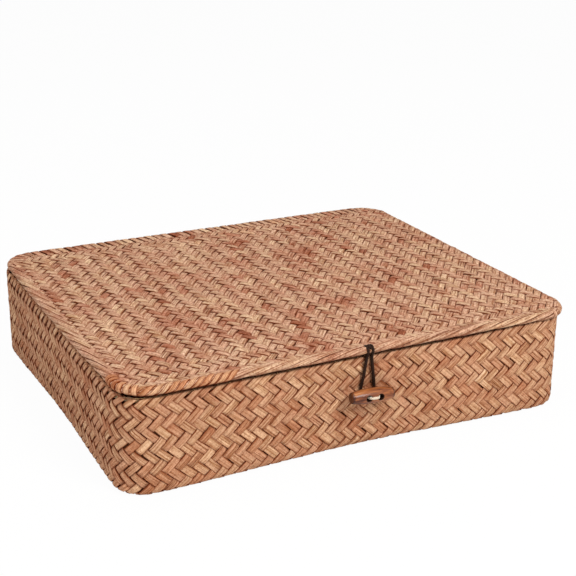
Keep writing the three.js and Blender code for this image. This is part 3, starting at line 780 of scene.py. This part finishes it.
def drawn_in(rising, strip, level):
    """The share of a cell that a strip fills."""
    return LEFT_WIDTH_SHARE if on_left_side(rising, strip, level) else 1.0


def plait_rows(plait, low, high):
    """Rows of floats round the wall. A strip rises for two cells, then the others fall over it for two."""
    for level in range(low, high, 4):
        for strip in range(STRIPS_AROUND):
            plait.add(1, strip, level - strip, level + 2 - strip, drawn_in(1, strip, level + 1))
            plait.add(0, strip, level + 2 - strip, level + 4 - strip, drawn_in(0, strip, level + 3))


def plait_ring(plait, rising, low, high):
    for strip in range(STRIPS_AROUND):
        plait.add(rising, strip, low - strip, high - strip, drawn_in(rising, strip, (low + high) / 2))


outer_walls = Plait(11, on_wall_cells, 0.57, 0.15, (0.95, 1.04), dip=1.2)
plait_ring(outer_walls, 0, -2, 0)
plait_rows(outer_walls, 0, RIM_LEVEL)
outer_walls.build("wall_plait", wall_strips, "basket", "outer_weave")


def under_the_lid(points):
    """The crown of the rim is painted darker along the front, as shade under the lid."""
    crown = ease((points[:, 2] - CROWN_BASE + FRONT_DROP + RIM_SHADE_LEAD) / RIM_SHADE_FADE)
    return RIM_SHADE_SHARE * crown * seam_gap(points[:, 0], points[:, 1])


rim = Plait(12, on_wall_cells, 0.6, 0.14, (0.92, 1.0), proud=0.12, pillow=0.12, gloom=under_the_lid,
            darkest=(0.85, 1), waist=0.3)
for strip in range(STRIPS_AROUND):
    start, turn, end = (level - strip for level in (RIM_LEVEL, RIM_LEVEL + 2, LINING_LEVEL))
    if on_left_side(1, strip, RIM_LEVEL + 2):
        rim.add(1, strip, start, turn, LEFT_WIDTH_SHARE)
    else:
        rim.add(1, strip, start, end, NARROW_RIM_WIDTH_SHARE if strip in NARROW_RIM_STRIPS else 1)
    if on_left_side(0, strip, RIM_LEVEL + 3):
        rim.add(0, strip, turn, end, LEFT_RIM_WIDTH_SHARE)
rim.build("rim_strips", wall_strips, "basket", "rim_fold")

lining = Plait(23, on_wall_cells, 0.5, 0.13)
plait_ring(lining, 0, LINING_LEVEL, LINING_LEVEL + 2)
plait_rows(lining, LINING_LEVEL + 2, FLOOR_LEVEL)
plait_ring(lining, 1, FLOOR_LEVEL, FLOOR_LEVEL + 2)
lining.build("lining_plait", lining_strips, "basket", "inner_weave")


# Flat mats

BASE_MAT_HEIGHT = 0.7 * MM
FLOOR_MAT_HEIGHT = WALL - 0.3 * MM
BASE_INSET = 7 * MM
LINING_INSET = 5.5 * MM
MAT_MARGIN = 3 * MM
MAT_REACH = 46
LID_MAT_REACH = 50


def plait_mat(plait, to_place, reach, rising_on_top, covers):
    """Lays a float wherever one set of strips stays on top."""
    for rising in (1, 0):
        for lane in range(-reach, reach):
            run_start = None
            for cell in range(-reach, reach + 1):
                u, w = (cell + 0.5, lane + 0.5) if rising else (lane + 0.5, cell + 0.5)
                x, y = to_place(u, w)
                on_top = cell < reach and covers(x, y) and rising_on_top(u, w, x, y) == bool(rising)
                if on_top:
                    run_start = cell if run_start is None else run_start
                elif run_start is not None:
                    plait.add(rising, lane, run_start, cell)
                    run_start = None


def level_rows(u, w, *_):
    return (math.floor(u) + math.floor(w)) % 4 < 2


def upright_rows(u, w):
    return (math.floor(u) - math.floor(w)) % 4 < 2


def flat_mat(name, seed, height, side, inset, finish, node, body="basket"):
    """A flat mat whose good side faces down (side 1) or up (side -1), out to an inset from the outline."""
    def to_place(u, w):
        return (u - w) * HALF_SPACING, (u + w) * ROW_STEP

    def to_surface(u, w, sink):
        x, y = to_place(u, w)
        return np.stack([x, y, height + side * sink], -1)

    def covers(x, y):
        return beyond_outline(x, y, CORNER_RADIUS - inset)[0] < -MAT_MARGIN

    mat = Plait(seed, to_surface, 0.5, 0.15)
    plait_mat(mat, to_place, MAT_REACH, level_rows, covers)
    mat.build(name, finish, body, node)


flat_mat("base_plait", 41, BASE_MAT_HEIGHT, 1, BASE_INSET, wall_strips, "outer_weave")
flat_mat("floor_plait", 43, FLOOR_MAT_HEIGHT, -1, BASE_INSET, lining_strips, "inner_weave")
flat_mat("lid_lining_plait", 47, LID_BASE, 1, LINING_INSET, lining_strips, "lid_lining", "lid")


# The lid's mat and its edge

LID_STEP_X = 3.45 * MM
LID_STEP_Y = 4.4 * MM
BORDER_STEP_Y = 3.7 * MM
BORDER_START = 116 * MM

# The mat runs over the right edge. It stops short of the others, where other strips bind the edge.
OVER_THE_RIGHT = 1 * MM
SHORT_OF_THE_BACK = 8 * MM
SHORT_OF_THE_FRONT = 2.2 * MM
RIGHT_FROM_BACK_SHARE = 0.38
RIGHT_FROM_FRONT_SHARE = 0.8
BACK_FROM_LEFT_SHARE = 0.2


def lid_place(u, w):
    level = np.abs(u + w)
    inner = np.minimum(level, BORDER_START / LID_STEP_Y)
    return (u - w) * LID_STEP_X, np.sign(u + w) * (inner * LID_STEP_Y + (level - inner) * BORDER_STEP_Y)


def on_lid_cells(u, w, sink):
    return on_lid(*lid_place(u, w), sink)


def lid_rising_on_top(u, w, x, y):
    return level_rows(u, w) if abs(y) > BORDER_START else upright_rows(u, w)


def lid_covers(x, y):
    beyond, _, _, out_x, out_y = beyond_outline(x, y, LID_FLAT, LID_LEFT_CORE)
    if out_x > (RIGHT_FROM_BACK_SHARE if y > 0 else RIGHT_FROM_FRONT_SHARE):
        return beyond < OVER_THE_RIGHT
    return beyond < -(SHORT_OF_THE_BACK if out_y > BACK_FROM_LEFT_SHARE else SHORT_OF_THE_FRONT)


lid_mat = Plait(37, on_lid_cells, 0.5, 0.19, (0.95, 1.03), dip=1.4, slope=0.6, proud=0.25, darkest=(0.75, 1))
plait_mat(lid_mat, lid_place, LID_MAT_REACH, lid_rising_on_top, lid_covers)
lid_mat.build("lid_plait", lid_strips, "lid", "lid_top_weave")

# Along the left and front edges narrow strips wind slowly round the curl.
EDGE_ANGLE = math.radians(14)
EDGE_STRIP = 4.1 * MM
EDGE_START = -4.4 * MM
EDGE_UNDERLAP = 2.5 * MM
EDGE_END = math.pi * CURL_RADIUS + EDGE_UNDERLAP
EDGE_DROP = 0.5 * MM
EDGE_DROP_LEAD = 0.6 * MM
EDGE_DROP_FADE = 1.6 * MM
LEFT_CORNER = LID_DEPTH
RIGHT_CORNER = LEFT_CORNER + LID_TURN + LID_WIDTH
BACK_CORNER = RIGHT_CORNER + LID_TURN + LID_DEPTH
EDGE_LENGTH = RIGHT_CORNER + 0.45 * LID_TURN
EDGE_LEAD = 0.3 * LID_TURN
CURL_SHADE_START = 0.9 * MM
CURL_SHADE_FADE = 1.4 * MM
CURL_SHADE_SHARE = 0.9


def under_the_curl(points):
    """The curl is painted darker along the front, as shade above the seam."""
    low = ease((CURL_HEIGHT - CURL_SHADE_START - points[:, 2]) / CURL_SHADE_FADE)
    return CURL_SHADE_SHARE * low * seam_gap(points[:, 0], points[:, 1])


def on_lid_edge_cells(u, w, sink):
    run = u * CELL * math.cos(EDGE_ANGLE) - w * EDGE_STRIP * math.sin(EDGE_ANGLE)
    beyond = EDGE_END - u * CELL * math.sin(EDGE_ANGLE) - w * EDGE_STRIP * math.cos(EDGE_ANGLE)
    inner_drop = EDGE_DROP * (1 - ease((beyond - EDGE_START + EDGE_DROP_LEAD) / EDGE_DROP_FADE))
    return on_lid_edge(run, beyond, sink + inner_drop)


def add_edge_strips(plait):
    """Each strip starts under the lid's edge, winds round the curl and ends on top, beside the mat."""
    across = (EDGE_END - EDGE_START) / math.sin(EDGE_ANGLE) / CELL
    rise = EDGE_STRIP * math.cos(EDGE_ANGLE) / (CELL * math.sin(EDGE_ANGLE))
    run_of_cell = CELL * math.cos(EDGE_ANGLE)
    last_lane = math.ceil(across / rise)
    first_lane = -math.ceil(EDGE_LENGTH / run_of_cell / rise)
    for lane in range(first_lane, last_lane):
        lane_shift = lane * EDGE_STRIP * math.sin(EDGE_ANGLE)
        start = max(-lane * rise, (lane_shift - EDGE_LEAD) / run_of_cell)
        end = min(across - lane * rise, (EDGE_LENGTH + lane_shift) / run_of_cell)
        if end - start > 2:
            plait.add(1, lane, start, end)


lid_edge = Plait(53, on_lid_edge_cells, 0.52, 0.15, (0.98, 1.04), dip=0.9, pillow=0.12, proud=0.3, fewest=26,
                 gloom=under_the_curl, groove=0.3)
add_edge_strips(lid_edge)
lid_edge.build("lid_edge_strips", lid_strips, "lid", "lid_top_weave")


CORNER_WRAP = 4.9 * MM
FRONT_WRAP = 5.6 * MM
RIGHT_WRAP = 6.1 * MM
BACK_WRAP = 6.9 * MM
WRAP_END = EDGE_END - 0.6 * MM
CORNER_WRAP_START = EDGE_START + 0.6 * MM
FRONT_WRAP_START = EDGE_START + 1.4 * MM
RIGHT_WRAP_START = 0.4 * MM
BACK_WRAP_START = EDGE_START - 5.6 * MM
FRONT_WRAPS_END = LEFT_CORNER + LID_TURN + 58 * MM
BACK_WRAPS_END = BACK_CORNER + 1.9 * LID_TURN + LID_WIDTH


def bind_edge(name, seed, width, first_run, last_run, tone, widths, proud, start, slant=0.0,
              finish=binding_strips):
    """Turns of strip across the curled edge, from one place on it to another, leaning over by the slant."""
    def on_binding(u, w, sink):
        return on_lid_edge(w * width - slant * u * CELL, start + u * CELL, sink)

    binding = Plait(seed, on_binding, tone, 0.24, widths, dip=0.8, pillow=0.14, proud=proud, fewest=9,
                    gloom=under_the_curl, darkest=(0.8, 1))
    for turn in range(round((last_run - first_run) / width)):
        binding.add(1, first_run / width + turn, 0, (WRAP_END - start) / CELL)
    binding.build(name, finish, "lid", "lid_top_weave")


# Short turns bind the near left corner and, leaning over, the first part of the front.
bind_edge("lid_corner_wraps", 59, CORNER_WRAP, LEFT_CORNER - 0.2 * LID_TURN, LEFT_CORNER + 0.66 * LID_TURN,
          tone=0.32, widths=(0.8, 0.92), proud=-0.2, start=CORNER_WRAP_START)
bind_edge("lid_front_wraps", 67, FRONT_WRAP, LEFT_CORNER + 0.72 * LID_TURN, FRONT_WRAPS_END,
          tone=0.48, widths=(0.8, 1.0), proud=-0.12, start=FRONT_WRAP_START, slant=1.1)

# Wider turns bind the right edge and the back, where they are drawn in and leave dark slits.
bind_edge("lid_right_wraps", 61, RIGHT_WRAP, RIGHT_CORNER + 0.15 * LID_TURN, BACK_CORNER + 0.75 * LID_TURN,
          tone=0.5, widths=(0.9, 0.98), proud=0.0, start=RIGHT_WRAP_START, finish=lid_strips)
bind_edge("lid_back_wraps", 71, BACK_WRAP, BACK_CORNER + 0.62 * LID_TURN, BACK_WRAPS_END, tone=0.5,
          widths=(0.7, 0.86), proud=0.0, start=BACK_WRAP_START, slant=-0.28, finish=lid_strips)


# Cords

CORD_STEP = 0.35 * MM
FINE_STEP = 0.3 * MM
LASHING_LAY = 3.2 * MM
LOOP_LAY = 4.6 * MM
THREAD_LAY = 5 * MM
LASHING_RADIUS_SHARE = 0.42
LOOP_KNOT_RADIUS_SHARE = 0.4
STITCH_RADIUS_SHARE = 0.52
VALLEY_SHARE = 0.8
LOBE_SHARE = 0.2


def curve_point(group, knots, place):
    """A point of the curve, blended step by step from four points and their places along it."""
    for spans in (((0, 1), (1, 2), (2, 3)), ((0, 2), (1, 3)), ((1, 2),)):
        blends = []
        for (start, end), before, after in zip(spans, group, group[1:]):
            stretch = knots[end] - knots[start]
            blends.append((knots[end] - place) / stretch * before + (place - knots[start]) / stretch * after)
        group = blends
    return group[0]


def smooth_path(points, spacing, closed=False):
    """Evenly spaced points on a centripetal curve through the given points."""
    points = np.array(points, float)
    if closed:
        points = np.concatenate([points[-1:], points, points[:2]])
    else:
        points = np.concatenate([2 * points[:1] - points[1:2], points, 2 * points[-1:] - points[-2:-1]])
    fine = []
    for first in range(len(points) - 3):
        group = points[first:first + 4]
        knots = [0.0]
        for near, far in zip(group, group[1:]):
            knots.append(knots[-1] + max(np.linalg.norm(far - near), 1e-9) ** 0.5)
        places = np.linspace(knots[1], knots[2], 24, endpoint=False)
        fine += [curve_point(group, knots, place) for place in places]
    fine.append(points[-2])
    return even(np.array(fine), spacing)


def even(path, spacing):
    run = np.concatenate([[0], np.cumsum(np.linalg.norm(np.diff(path, axis=0), axis=1))])
    places = np.linspace(0, run[-1], max(3, round(run[-1] / spacing)))
    return np.stack([np.interp(places, run, path[:, axis]) for axis in range(3)], -1)


def twist_cord(name, path, radius, strands, lay, points_round=18):
    """A closed cord with rounded ends, whose lobed section turns once in each lay length."""
    count = len(path)
    steps = np.gradient(path, axis=0)
    steps /= np.linalg.norm(steps, axis=1, keepdims=True)
    normal = np.cross(steps[0], (0.3, 0.2, 1.0))
    normals = []
    for step in steps:
        normal = normal - step * np.dot(normal, step)
        normal = normal / np.linalg.norm(normal)
        normals.append(normal)
    normals = np.array(normals)
    binormals = np.cross(steps, normals)
    run = np.concatenate([[0], np.cumsum(np.linalg.norm(np.diff(path, axis=0), axis=1))])
    angle = np.linspace(0, 2 * math.pi, points_round, endpoint=False)
    lobe = np.abs(np.cos(strands * angle / 2))
    reach = radius * (VALLEY_SHARE + LOBE_SHARE * lobe)
    taper = np.minimum(1, np.sqrt(np.clip(np.minimum(run, run[-1] - run) / radius, 0.02, 1)))
    turned = angle[None] + 2 * math.pi * run[:, None] / lay
    offsets = (np.cos(turned)[..., None] * normals[:, None] + np.sin(turned)[..., None] * binormals[:, None])
    rings = path[:, None] + offsets * (reach[None] * taper[:, None])[..., None]
    points = np.concatenate([rings.reshape(-1, 3), path[:1], path[-1:]])
    loops, sizes = [], []
    for row in range(count - 1):
        for column in range(points_round):
            after = (column + 1) % points_round
            here, there = row * points_round, (row + 1) * points_round
            loops += [here + column, here + after, there + after, there + column]
            sizes.append(4)
    first, last = count * points_round, count * points_round + 1
    end_ring = first - points_round
    for column in range(points_round):
        after = (column + 1) % points_round
        loops += [first, after, column, last, end_ring + column, end_ring + after]
        sizes += [3, 3]
    piece = mesh_piece(name, points, np.array(loops), np.array(sizes))
    mark_points(piece, "ridge", np.concatenate([np.tile(lobe, count), [0.5, 0.5]]))
    return piece


def join_pieces(name, pieces):
    select_only(pieces[0])
    for piece in pieces:
        piece.select_set(True)
    bpy.ops.object.join()
    joined = bpy.context.object
    joined.name = joined.data.name = name
    return joined


def lerp(a, b, share):
    return a + (b - a) * share


def bow_at(height):
    return lerp(FOOT_BOW, RIM_BOW, height / RIM_HEIGHT)


TOGGLE_WALL_Y = bow_at(TOGGLE_HEIGHT) * math.cos(math.pi * TOGGLE_X / (2 * CORE_X)) ** 2 - DEPTH / 2


def lashing_path(side):
    """Three turns over the curl, down behind the wall, in under the rim's cane and up again."""
    half = LASHING_CORD / 2
    curl = CURL_RADIUS - LASHING_WAIST + CLEARANCE / 2
    cane_bottom = RIM_HEIGHT - WEAVE - CLEARANCE - RIM_CANE_HEIGHT
    hole = cane_bottom - CLEARANCE - half
    outside, inside = DEPTH / 2 + half + CLEARANCE, DEPTH / 2 - WALL - half - 2 * CLEARANCE
    angles = [math.radians(degrees) for degrees in (-35, 10, 50, 90, 130, 170)]
    over = [(HINGE_Y + curl * math.cos(angle), CURL_HEIGHT + curl * math.sin(angle)) for angle in angles]
    turn = [
        (DEPTH / 2 - WALL / 2, hole), (DEPTH / 2 - half, hole), (outside, hole + LASHING_CORD),
        (outside + CLEARANCE, RIM_HEIGHT - LASHING_CORD), *over, (inside + half, LID_BASE + half),
        (inside, RIM_HEIGHT - LASHING_CORD), (inside, hole + LASHING_CORD), (DEPTH / 2 - WALL, hole),
    ]
    ring = smooth_path([(0, y, z) for y, z in turn], FINE_STEP, closed=True)
    shares = np.linspace(0, 1, len(ring))
    whole = []
    for number in range(LASHING_TURNS):
        x = side * LASHING_SPACING / 2 + LASHING_PITCH * (number + shares - LASHING_TURNS / 2)
        whole.append(np.stack([x, ring[:, 1], ring[:, 2]], -1)[:-1])
    return even(np.concatenate(whole), CORD_STEP)


for side, name in ((-1, "left"), (1, "right")):
    radius = LASHING_CORD * LASHING_RADIUS_SHARE
    lashing = twist_cord(f"lashing_{name}", lashing_path(side), radius, 3, LASHING_LAY, 12)
    finish_piece(lashing, pale_cord, "basket", f"hinge_lashing_{name}", 60)


def over_front_cane(x, radius, degrees):
    angle = math.radians(degrees)
    return x, -HINGE_Y - radius * math.cos(angle), CURL_HEIGHT + radius * math.sin(angle)


LOOP_SPREAD = 0.1 * MM
LOOP_SHIFT = 0.4 * MM
LOOP_LEG_SHARE = 0.42
LOOP_KNOT_SHIFT = 0.3 * MM
LOOP_KNOT_LIFT = 0.35 * MM
LOOP_KNOT_DEPTH = 0.55 * MM
LOOP_KNOT_ANGLE = math.radians(66)
LOOP_KNOT_PLACE_DEGREES = 64
LOOP_KNOT_FLAT_SHARE = 0.75
KNOT_WIDTH_IN_SIZES = 10.5


def overhand_knot(steps, size, flat_share, depth):
    """How far an overhand knot's points lie across, up and out from its middle."""
    turn = 2 * math.pi * np.linspace(KNOT_OPEN_SHARE, 1 - KNOT_OPEN_SHARE, steps)
    wide = size * (np.sin(turn) + 2 * np.sin(2 * turn))
    high = size * flat_share * (np.cos(turn) - 2 * np.cos(2 * turn))
    return wide, high, depth * np.sin(3 * turn)


def loop_path():
    half = LOOP_CORD / 2
    cane_reach = LID_CANE_RADIUS + CLEARANCE + half
    wall_y = TOGGLE_WALL_Y - CLEARANCE - half
    thread_reach = STITCH_THREAD + STITCH_GAP / 2 + 2 * CLEARANCE + half
    low_x, middle = LOOP_FOOT_WIDTH / 2 + LOOP_SPREAD, TOGGLE_X + LOOP_FOOT_OFFSET

    def leg(sign):
        top_x = LOOP_TOP_X + LOOP_SHIFT + sign * LOOP_TOP_WIDTH * LOOP_LEG_SHARE
        foot_x = middle + sign * low_x
        return [
            *[over_front_cane(top_x, cane_reach, degrees) for degrees in (150, 120, 90, 60, 30, 0)],
            (top_x, -HINGE_Y - half, lerp(RIM_HEIGHT, TOGGLE_HEIGHT, 0.05)),
            (lerp(top_x, foot_x, 0.5), wall_y - half, lerp(RIM_HEIGHT, TOGGLE_HEIGHT, 0.5)),
            (foot_x, wall_y, lerp(RIM_HEIGHT, TOGGLE_HEIGHT, 0.9)),
            (middle + sign * low_x * 0.95, wall_y, TOGGLE_HEIGHT - half),
        ]

    bight = (TOGGLE_X, wall_y, TOGGLE_HEIGHT - thread_reach)
    return smooth_path([*leg(-1), bight, *reversed(leg(1))], CORD_STEP)


def loop_knot_path():
    """A small overhand knot drawn tight on the curl, where both legs come up through the lid's edge."""
    angle = LOOP_KNOT_ANGLE
    size = LOOP_KNOT_WIDTH / KNOT_WIDTH_IN_SIZES
    reach = CURL_RADIUS + LOOP_KNOT_LIFT
    middle = np.array(over_front_cane(LOOP_TOP_X + LOOP_KNOT_SHIFT, reach, LOOP_KNOT_PLACE_DEGREES))
    out = np.array((0, -math.cos(angle), math.sin(angle)))
    back = np.array((0, math.sin(angle), math.cos(angle)))
    wide, high, deep = overhand_knot(160, size, LOOP_KNOT_FLAT_SHARE, LOOP_KNOT_DEPTH)
    path = middle + wide[:, None] * np.array((1, 0, 0)) + high[:, None] * back
    return even(path + deep[:, None] * out, FINE_STEP)


loop = join_pieces("loop_cord", [
    twist_cord("loop_legs", loop_path(), LOOP_CORD / 2, 3, LOOP_LAY),
    twist_cord("loop_knot", loop_knot_path(), LOOP_CORD * LOOP_KNOT_RADIUS_SHARE, 3, LOOP_LAY),
])
finish_piece(loop, dark_cord, "lid", "fastening_loop", 60)
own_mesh(loop)


# The toggle

HOLE_LENGTH = 14 * MM
HOLE_RADIUS = TOGGLE_HOLE_RADIUS * 1.16
MOUTH_RADIUS = TOGGLE_HOLE_RADIUS * 1.5
MOUTH_LENGTH = 1.4 * MM
MOUTH_SETBACK = 0.35 * MM
BARREL_RINGS = 21
BARREL_SWELL_SHARE = 1.04
DARK_END_REACH = 1.2 * MM
DARK_END_FADE = 1.6 * MM
THREAD_SWAY = 0.35 * MM
THREAD_MOUTH = 0.8 * MM


def place_on_toggle(piece):
    """Turns a piece modelled about the toggle's middle to the toggle's tilt, and moves it there."""
    tilt = Matrix.Rotation(TOGGLE_TILT, 4, "Y")
    middle = (TOGGLE_X, TOGGLE_WALL_Y - TOGGLE_STANDOFF, TOGGLE_HEIGHT)
    piece.data.transform(Matrix.Translation(middle) @ tilt)


def cut_away(piece, cutter):
    select_only(piece)
    hole = piece.modifiers.new("hole", "BOOLEAN")
    hole.operation = "DIFFERENCE"
    hole.solver = "EXACT"
    hole.object = cutter
    bpy.ops.object.modifier_apply(modifier=hole.name)
    bpy.data.objects.remove(cutter)


def turn_barrel():
    """The barrel, drawn out ring by ring from its left end, with two holes that widen at the front."""
    shoulder = TOGGLE_LENGTH / 2 - TOGGLE_EDGE
    profile = []
    for angle in (0.35, 0.8, 1.2):
        edge_x = -TOGGLE_LENGTH / 2 + TOGGLE_EDGE * (1 - math.cos(angle))
        profile.append((edge_x, TOGGLE_END_RADIUS - TOGGLE_EDGE * (1 - math.sin(angle))))
    for step in range(BARREL_RINGS):
        share = 2 * step / (BARREL_RINGS - 1) - 1
        taper = 1 - abs(share) ** TOGGLE_TAPER_POWER
        radius = lerp(TOGGLE_END_RADIUS, TOGGLE_RADIUS * BARREL_SWELL_SHARE, taper)
        profile.append((share * shoulder, radius))
    profile += [(-x, radius) for x, radius in reversed(profile[:3])]
    start_radius = TOGGLE_END_RADIUS - TOGGLE_EDGE
    barrel = new_shape(bpy.ops.mesh.primitive_circle_add, vertices=64, radius=start_radius,
                       fill_type="TRIFAN", location=(-TOGGLE_LENGTH / 2, 0, 0), rotation=(0, math.pi / 2, 0))
    bpy.ops.object.transform_apply(location=True, rotation=True)
    bpy.ops.object.mode_set(mode="EDIT")
    bpy.ops.mesh.select_all(action="SELECT")
    x, radius = -TOGGLE_LENGTH / 2, start_radius
    for next_x, next_radius in [*profile, (TOGGLE_LENGTH / 2, start_radius)]:
        bpy.ops.mesh.extrude_region_move(TRANSFORM_OT_translate={"value": (next_x - x, 0, 0)})
        grow = next_radius / radius
        bpy.ops.transform.resize(value=(1, grow, grow), center_override=(next_x, 0, 0))
        x, radius = next_x, next_radius
    bpy.ops.mesh.select_all(action="SELECT")
    bpy.ops.mesh.normals_make_consistent(inside=False)
    bpy.ops.object.mode_set(mode="OBJECT")
    for side in (-1, 1):
        for length, mouth, front in ((HOLE_LENGTH, HOLE_RADIUS, 0),
                                     (MOUTH_LENGTH, MOUTH_RADIUS, MOUTH_SETBACK - TOGGLE_RADIUS)):
            place, turned = (side * TOGGLE_HOLE_SPACING / 2, front, 0), (-math.pi / 2, 0, 0)
            cone = new_shape(bpy.ops.mesh.primitive_cone_add, vertices=32, radius1=mouth, radius2=HOLE_RADIUS,
                             depth=length, location=place, rotation=turned)
            cut_away(barrel, cone)
    barrel.name = barrel.data.name = "toggle_barrel"
    past = np.abs(points_of(barrel.data)[:, 0]) - shoulder
    mark_points(barrel, "end", ease((past + DARK_END_REACH) / DARK_END_FADE))
    return barrel


barrel = turn_barrel()
place_on_toggle(barrel)
finish_piece(barrel, toggle_wood, "toggle", "toggle_button", 38)


def stitch_path():
    half = STITCH_THREAD / 2
    shank, hole = half + STITCH_GAP / 2, TOGGLE_HOLE_SPACING / 2
    front = half + CLEARANCE - STITCH_SINK - TOGGLE_RADIUS
    back = TOGGLE_RADIUS + CLEARANCE + half
    knot = TOGGLE_STANDOFF + WALL + STITCH_THREAD
    leg = [
        (shank, knot), (shank, TOGGLE_STANDOFF), (shank + CLEARANCE, back + half),
        (hole - STITCH_THREAD, back), (hole, back - STITCH_THREAD), (hole - THREAD_SWAY, 0),
        (hole - THREAD_MOUTH, front + STITCH_THREAD * 1.3), (hole - STITCH_THREAD * 1.1, front + CLEARANCE),
    ]
    return smooth_path([*[(-x, y, 0) for x, y in leg], *[(x, y, 0) for x, y in reversed(leg)]], CORD_STEP)


def knot_path():
    middle = TOGGLE_STANDOFF + WALL + CLEARANCE + KNOT_DEPTH + STITCH_THREAD / 2
    wide, high, deep = overhand_knot(200, KNOT_RADIUS, 1, KNOT_DEPTH)
    return even(np.stack([wide, deep + middle, high], -1), FINE_STEP)


stitch = join_pieces("toggle_thread", [
    twist_cord("stitch_thread", stitch_path(), STITCH_THREAD * STITCH_RADIUS_SHARE, 4, THREAD_LAY, 16),
    twist_cord("stitch_knot", knot_path(), STITCH_THREAD / 2, 4, THREAD_LAY, 16),
])
place_on_toggle(stitch)
finish_piece(stitch, cream_thread, "toggle", "toggle_stitch", 60)


# Solids that stay as they are, with their own finish

for node, finish in (("wall_card", card_with_gap_shade), ("floor_card", card_with_gap_shade), ("lid_card", card_with_gap_shade),
                     ("rim_cane", split_cane), ("lid_cane", split_cane)):
    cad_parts[node].material_slots[0].material = finish


# Camera, light and table

CAMERA_PLACE = (-0.38654, -0.81069, 0.39661)
CAMERA_TURNS = (26.353, 19.9867, 0.3454)
CAMERA_LENS = 78.86
TABLE_LEVEL = -0.3 * MM
TABLE_SIZE = 30
TABLE_GLOW_SHARE = 0.965

# Each lamp's name, place, target, width, power and tint
LAMPS = (
    ("key lamp", (0.34, -1.27, 1.2), (0, 0, 0.03), 0.8, 22.1, (1, 0.985, 0.965)),
    ("top lamp", (0, 0.16, 1.6), (0, 0, 0.05), 1.2, 8.2, (1, 0.985, 0.97)),
    ("left lamp", (-1.4, -0.6, 0.9), (-0.1, 0, 0.04), 0.5, 8.2, (1, 0.99, 0.99)),
)


def photo_camera():
    yaw, pitch, roll = (math.radians(angle) for angle in CAMERA_TURNS)
    ahead = Vector((math.sin(yaw) * math.cos(pitch), math.cos(yaw) * math.cos(pitch), -math.sin(pitch)))
    level = Vector((math.cos(yaw), -math.sin(yaw), 0))
    upward = level.cross(ahead)
    right = math.cos(roll) * level + math.sin(roll) * upward
    up = -math.sin(roll) * level + math.cos(roll) * upward
    camera = bpy.data.cameras.new("camera")
    camera.sensor_width = 36
    camera.lens = CAMERA_LENS
    camera.clip_end = 50
    eye = bpy.data.objects.new("camera", camera)
    turned = Matrix((right, up, -ahead)).transposed().to_4x4()
    eye.matrix_world = Matrix.Translation(CAMERA_PLACE) @ turned
    bpy.context.scene.collection.objects.link(eye)
    bpy.context.scene.camera = eye


def round_lamp(name, place, target, width, power, tint):
    light = bpy.data.lights.new(name, "AREA")
    light.shape = "DISK"
    light.size = width
    light.energy = power
    light.color = tint
    holder = bpy.data.objects.new(name, light)
    place, target = Vector(place), Vector(target)
    aim = (target - place).to_track_quat("-Z", "Y").to_matrix().to_4x4()
    holder.matrix_world = Matrix.Translation(place) @ aim
    bpy.context.scene.collection.objects.link(holder)


def white_world():
    """White to the camera and in glossy or clear surfaces, and a soft light on everything else."""
    world = bpy.data.worlds.new("studio")
    bpy.context.scene.world = world
    world.use_nodes = True
    nodes = Nodes(world.node_tree)
    nodes.tree.nodes.clear()
    path = nodes.add("ShaderNodeLightPath")
    seen = nodes.calculate("MAXIMUM", path.outputs["Is Camera Ray"], path.outputs["Is Transmission Ray"])
    seen = nodes.calculate("MAXIMUM", seen, path.outputs["Is Glossy Ray"])
    white = nodes.add("ShaderNodeBackground", Color=(1, 1, 1, 1), Strength=1.0)
    light = nodes.add("ShaderNodeBackground", Color=(1, 0.985, 0.97, 1), Strength=0.34)
    shown = nodes.choose(seen, light.outputs[0], white.outputs[0])
    nodes.feed(shown, nodes.add("ShaderNodeOutputWorld").inputs["Surface"])


def white_table():
    table = new_shape(bpy.ops.mesh.primitive_plane_add, size=TABLE_SIZE, location=(0, 0, TABLE_LEVEL))
    table.name = "table"
    top = Finish("white table")
    top.put("Base Color", (0.8, 0.8, 0.8))
    top.put("Roughness", 0.9)
    top.put("Specular IOR Level", 0.0)
    path = top.add("ShaderNodeLightPath")
    glow = top.add("ShaderNodeEmission", Color=(1, 1, 1, 1), Strength=1.0)
    seen = top.times(path.outputs["Is Camera Ray"], TABLE_GLOW_SHARE)
    shown = top.choose(seen, top.shader.outputs[0], glow.outputs[0])
    top.feed(shown, top.tree.nodes["Material Output"].inputs["Surface"])
    table.data.materials.append(top.material)


photo_camera()
white_world()
white_table()
for lamp in LAMPS:
    round_lamp(*lamp)
bpy.context.scene.view_settings.view_transform = "Standard"
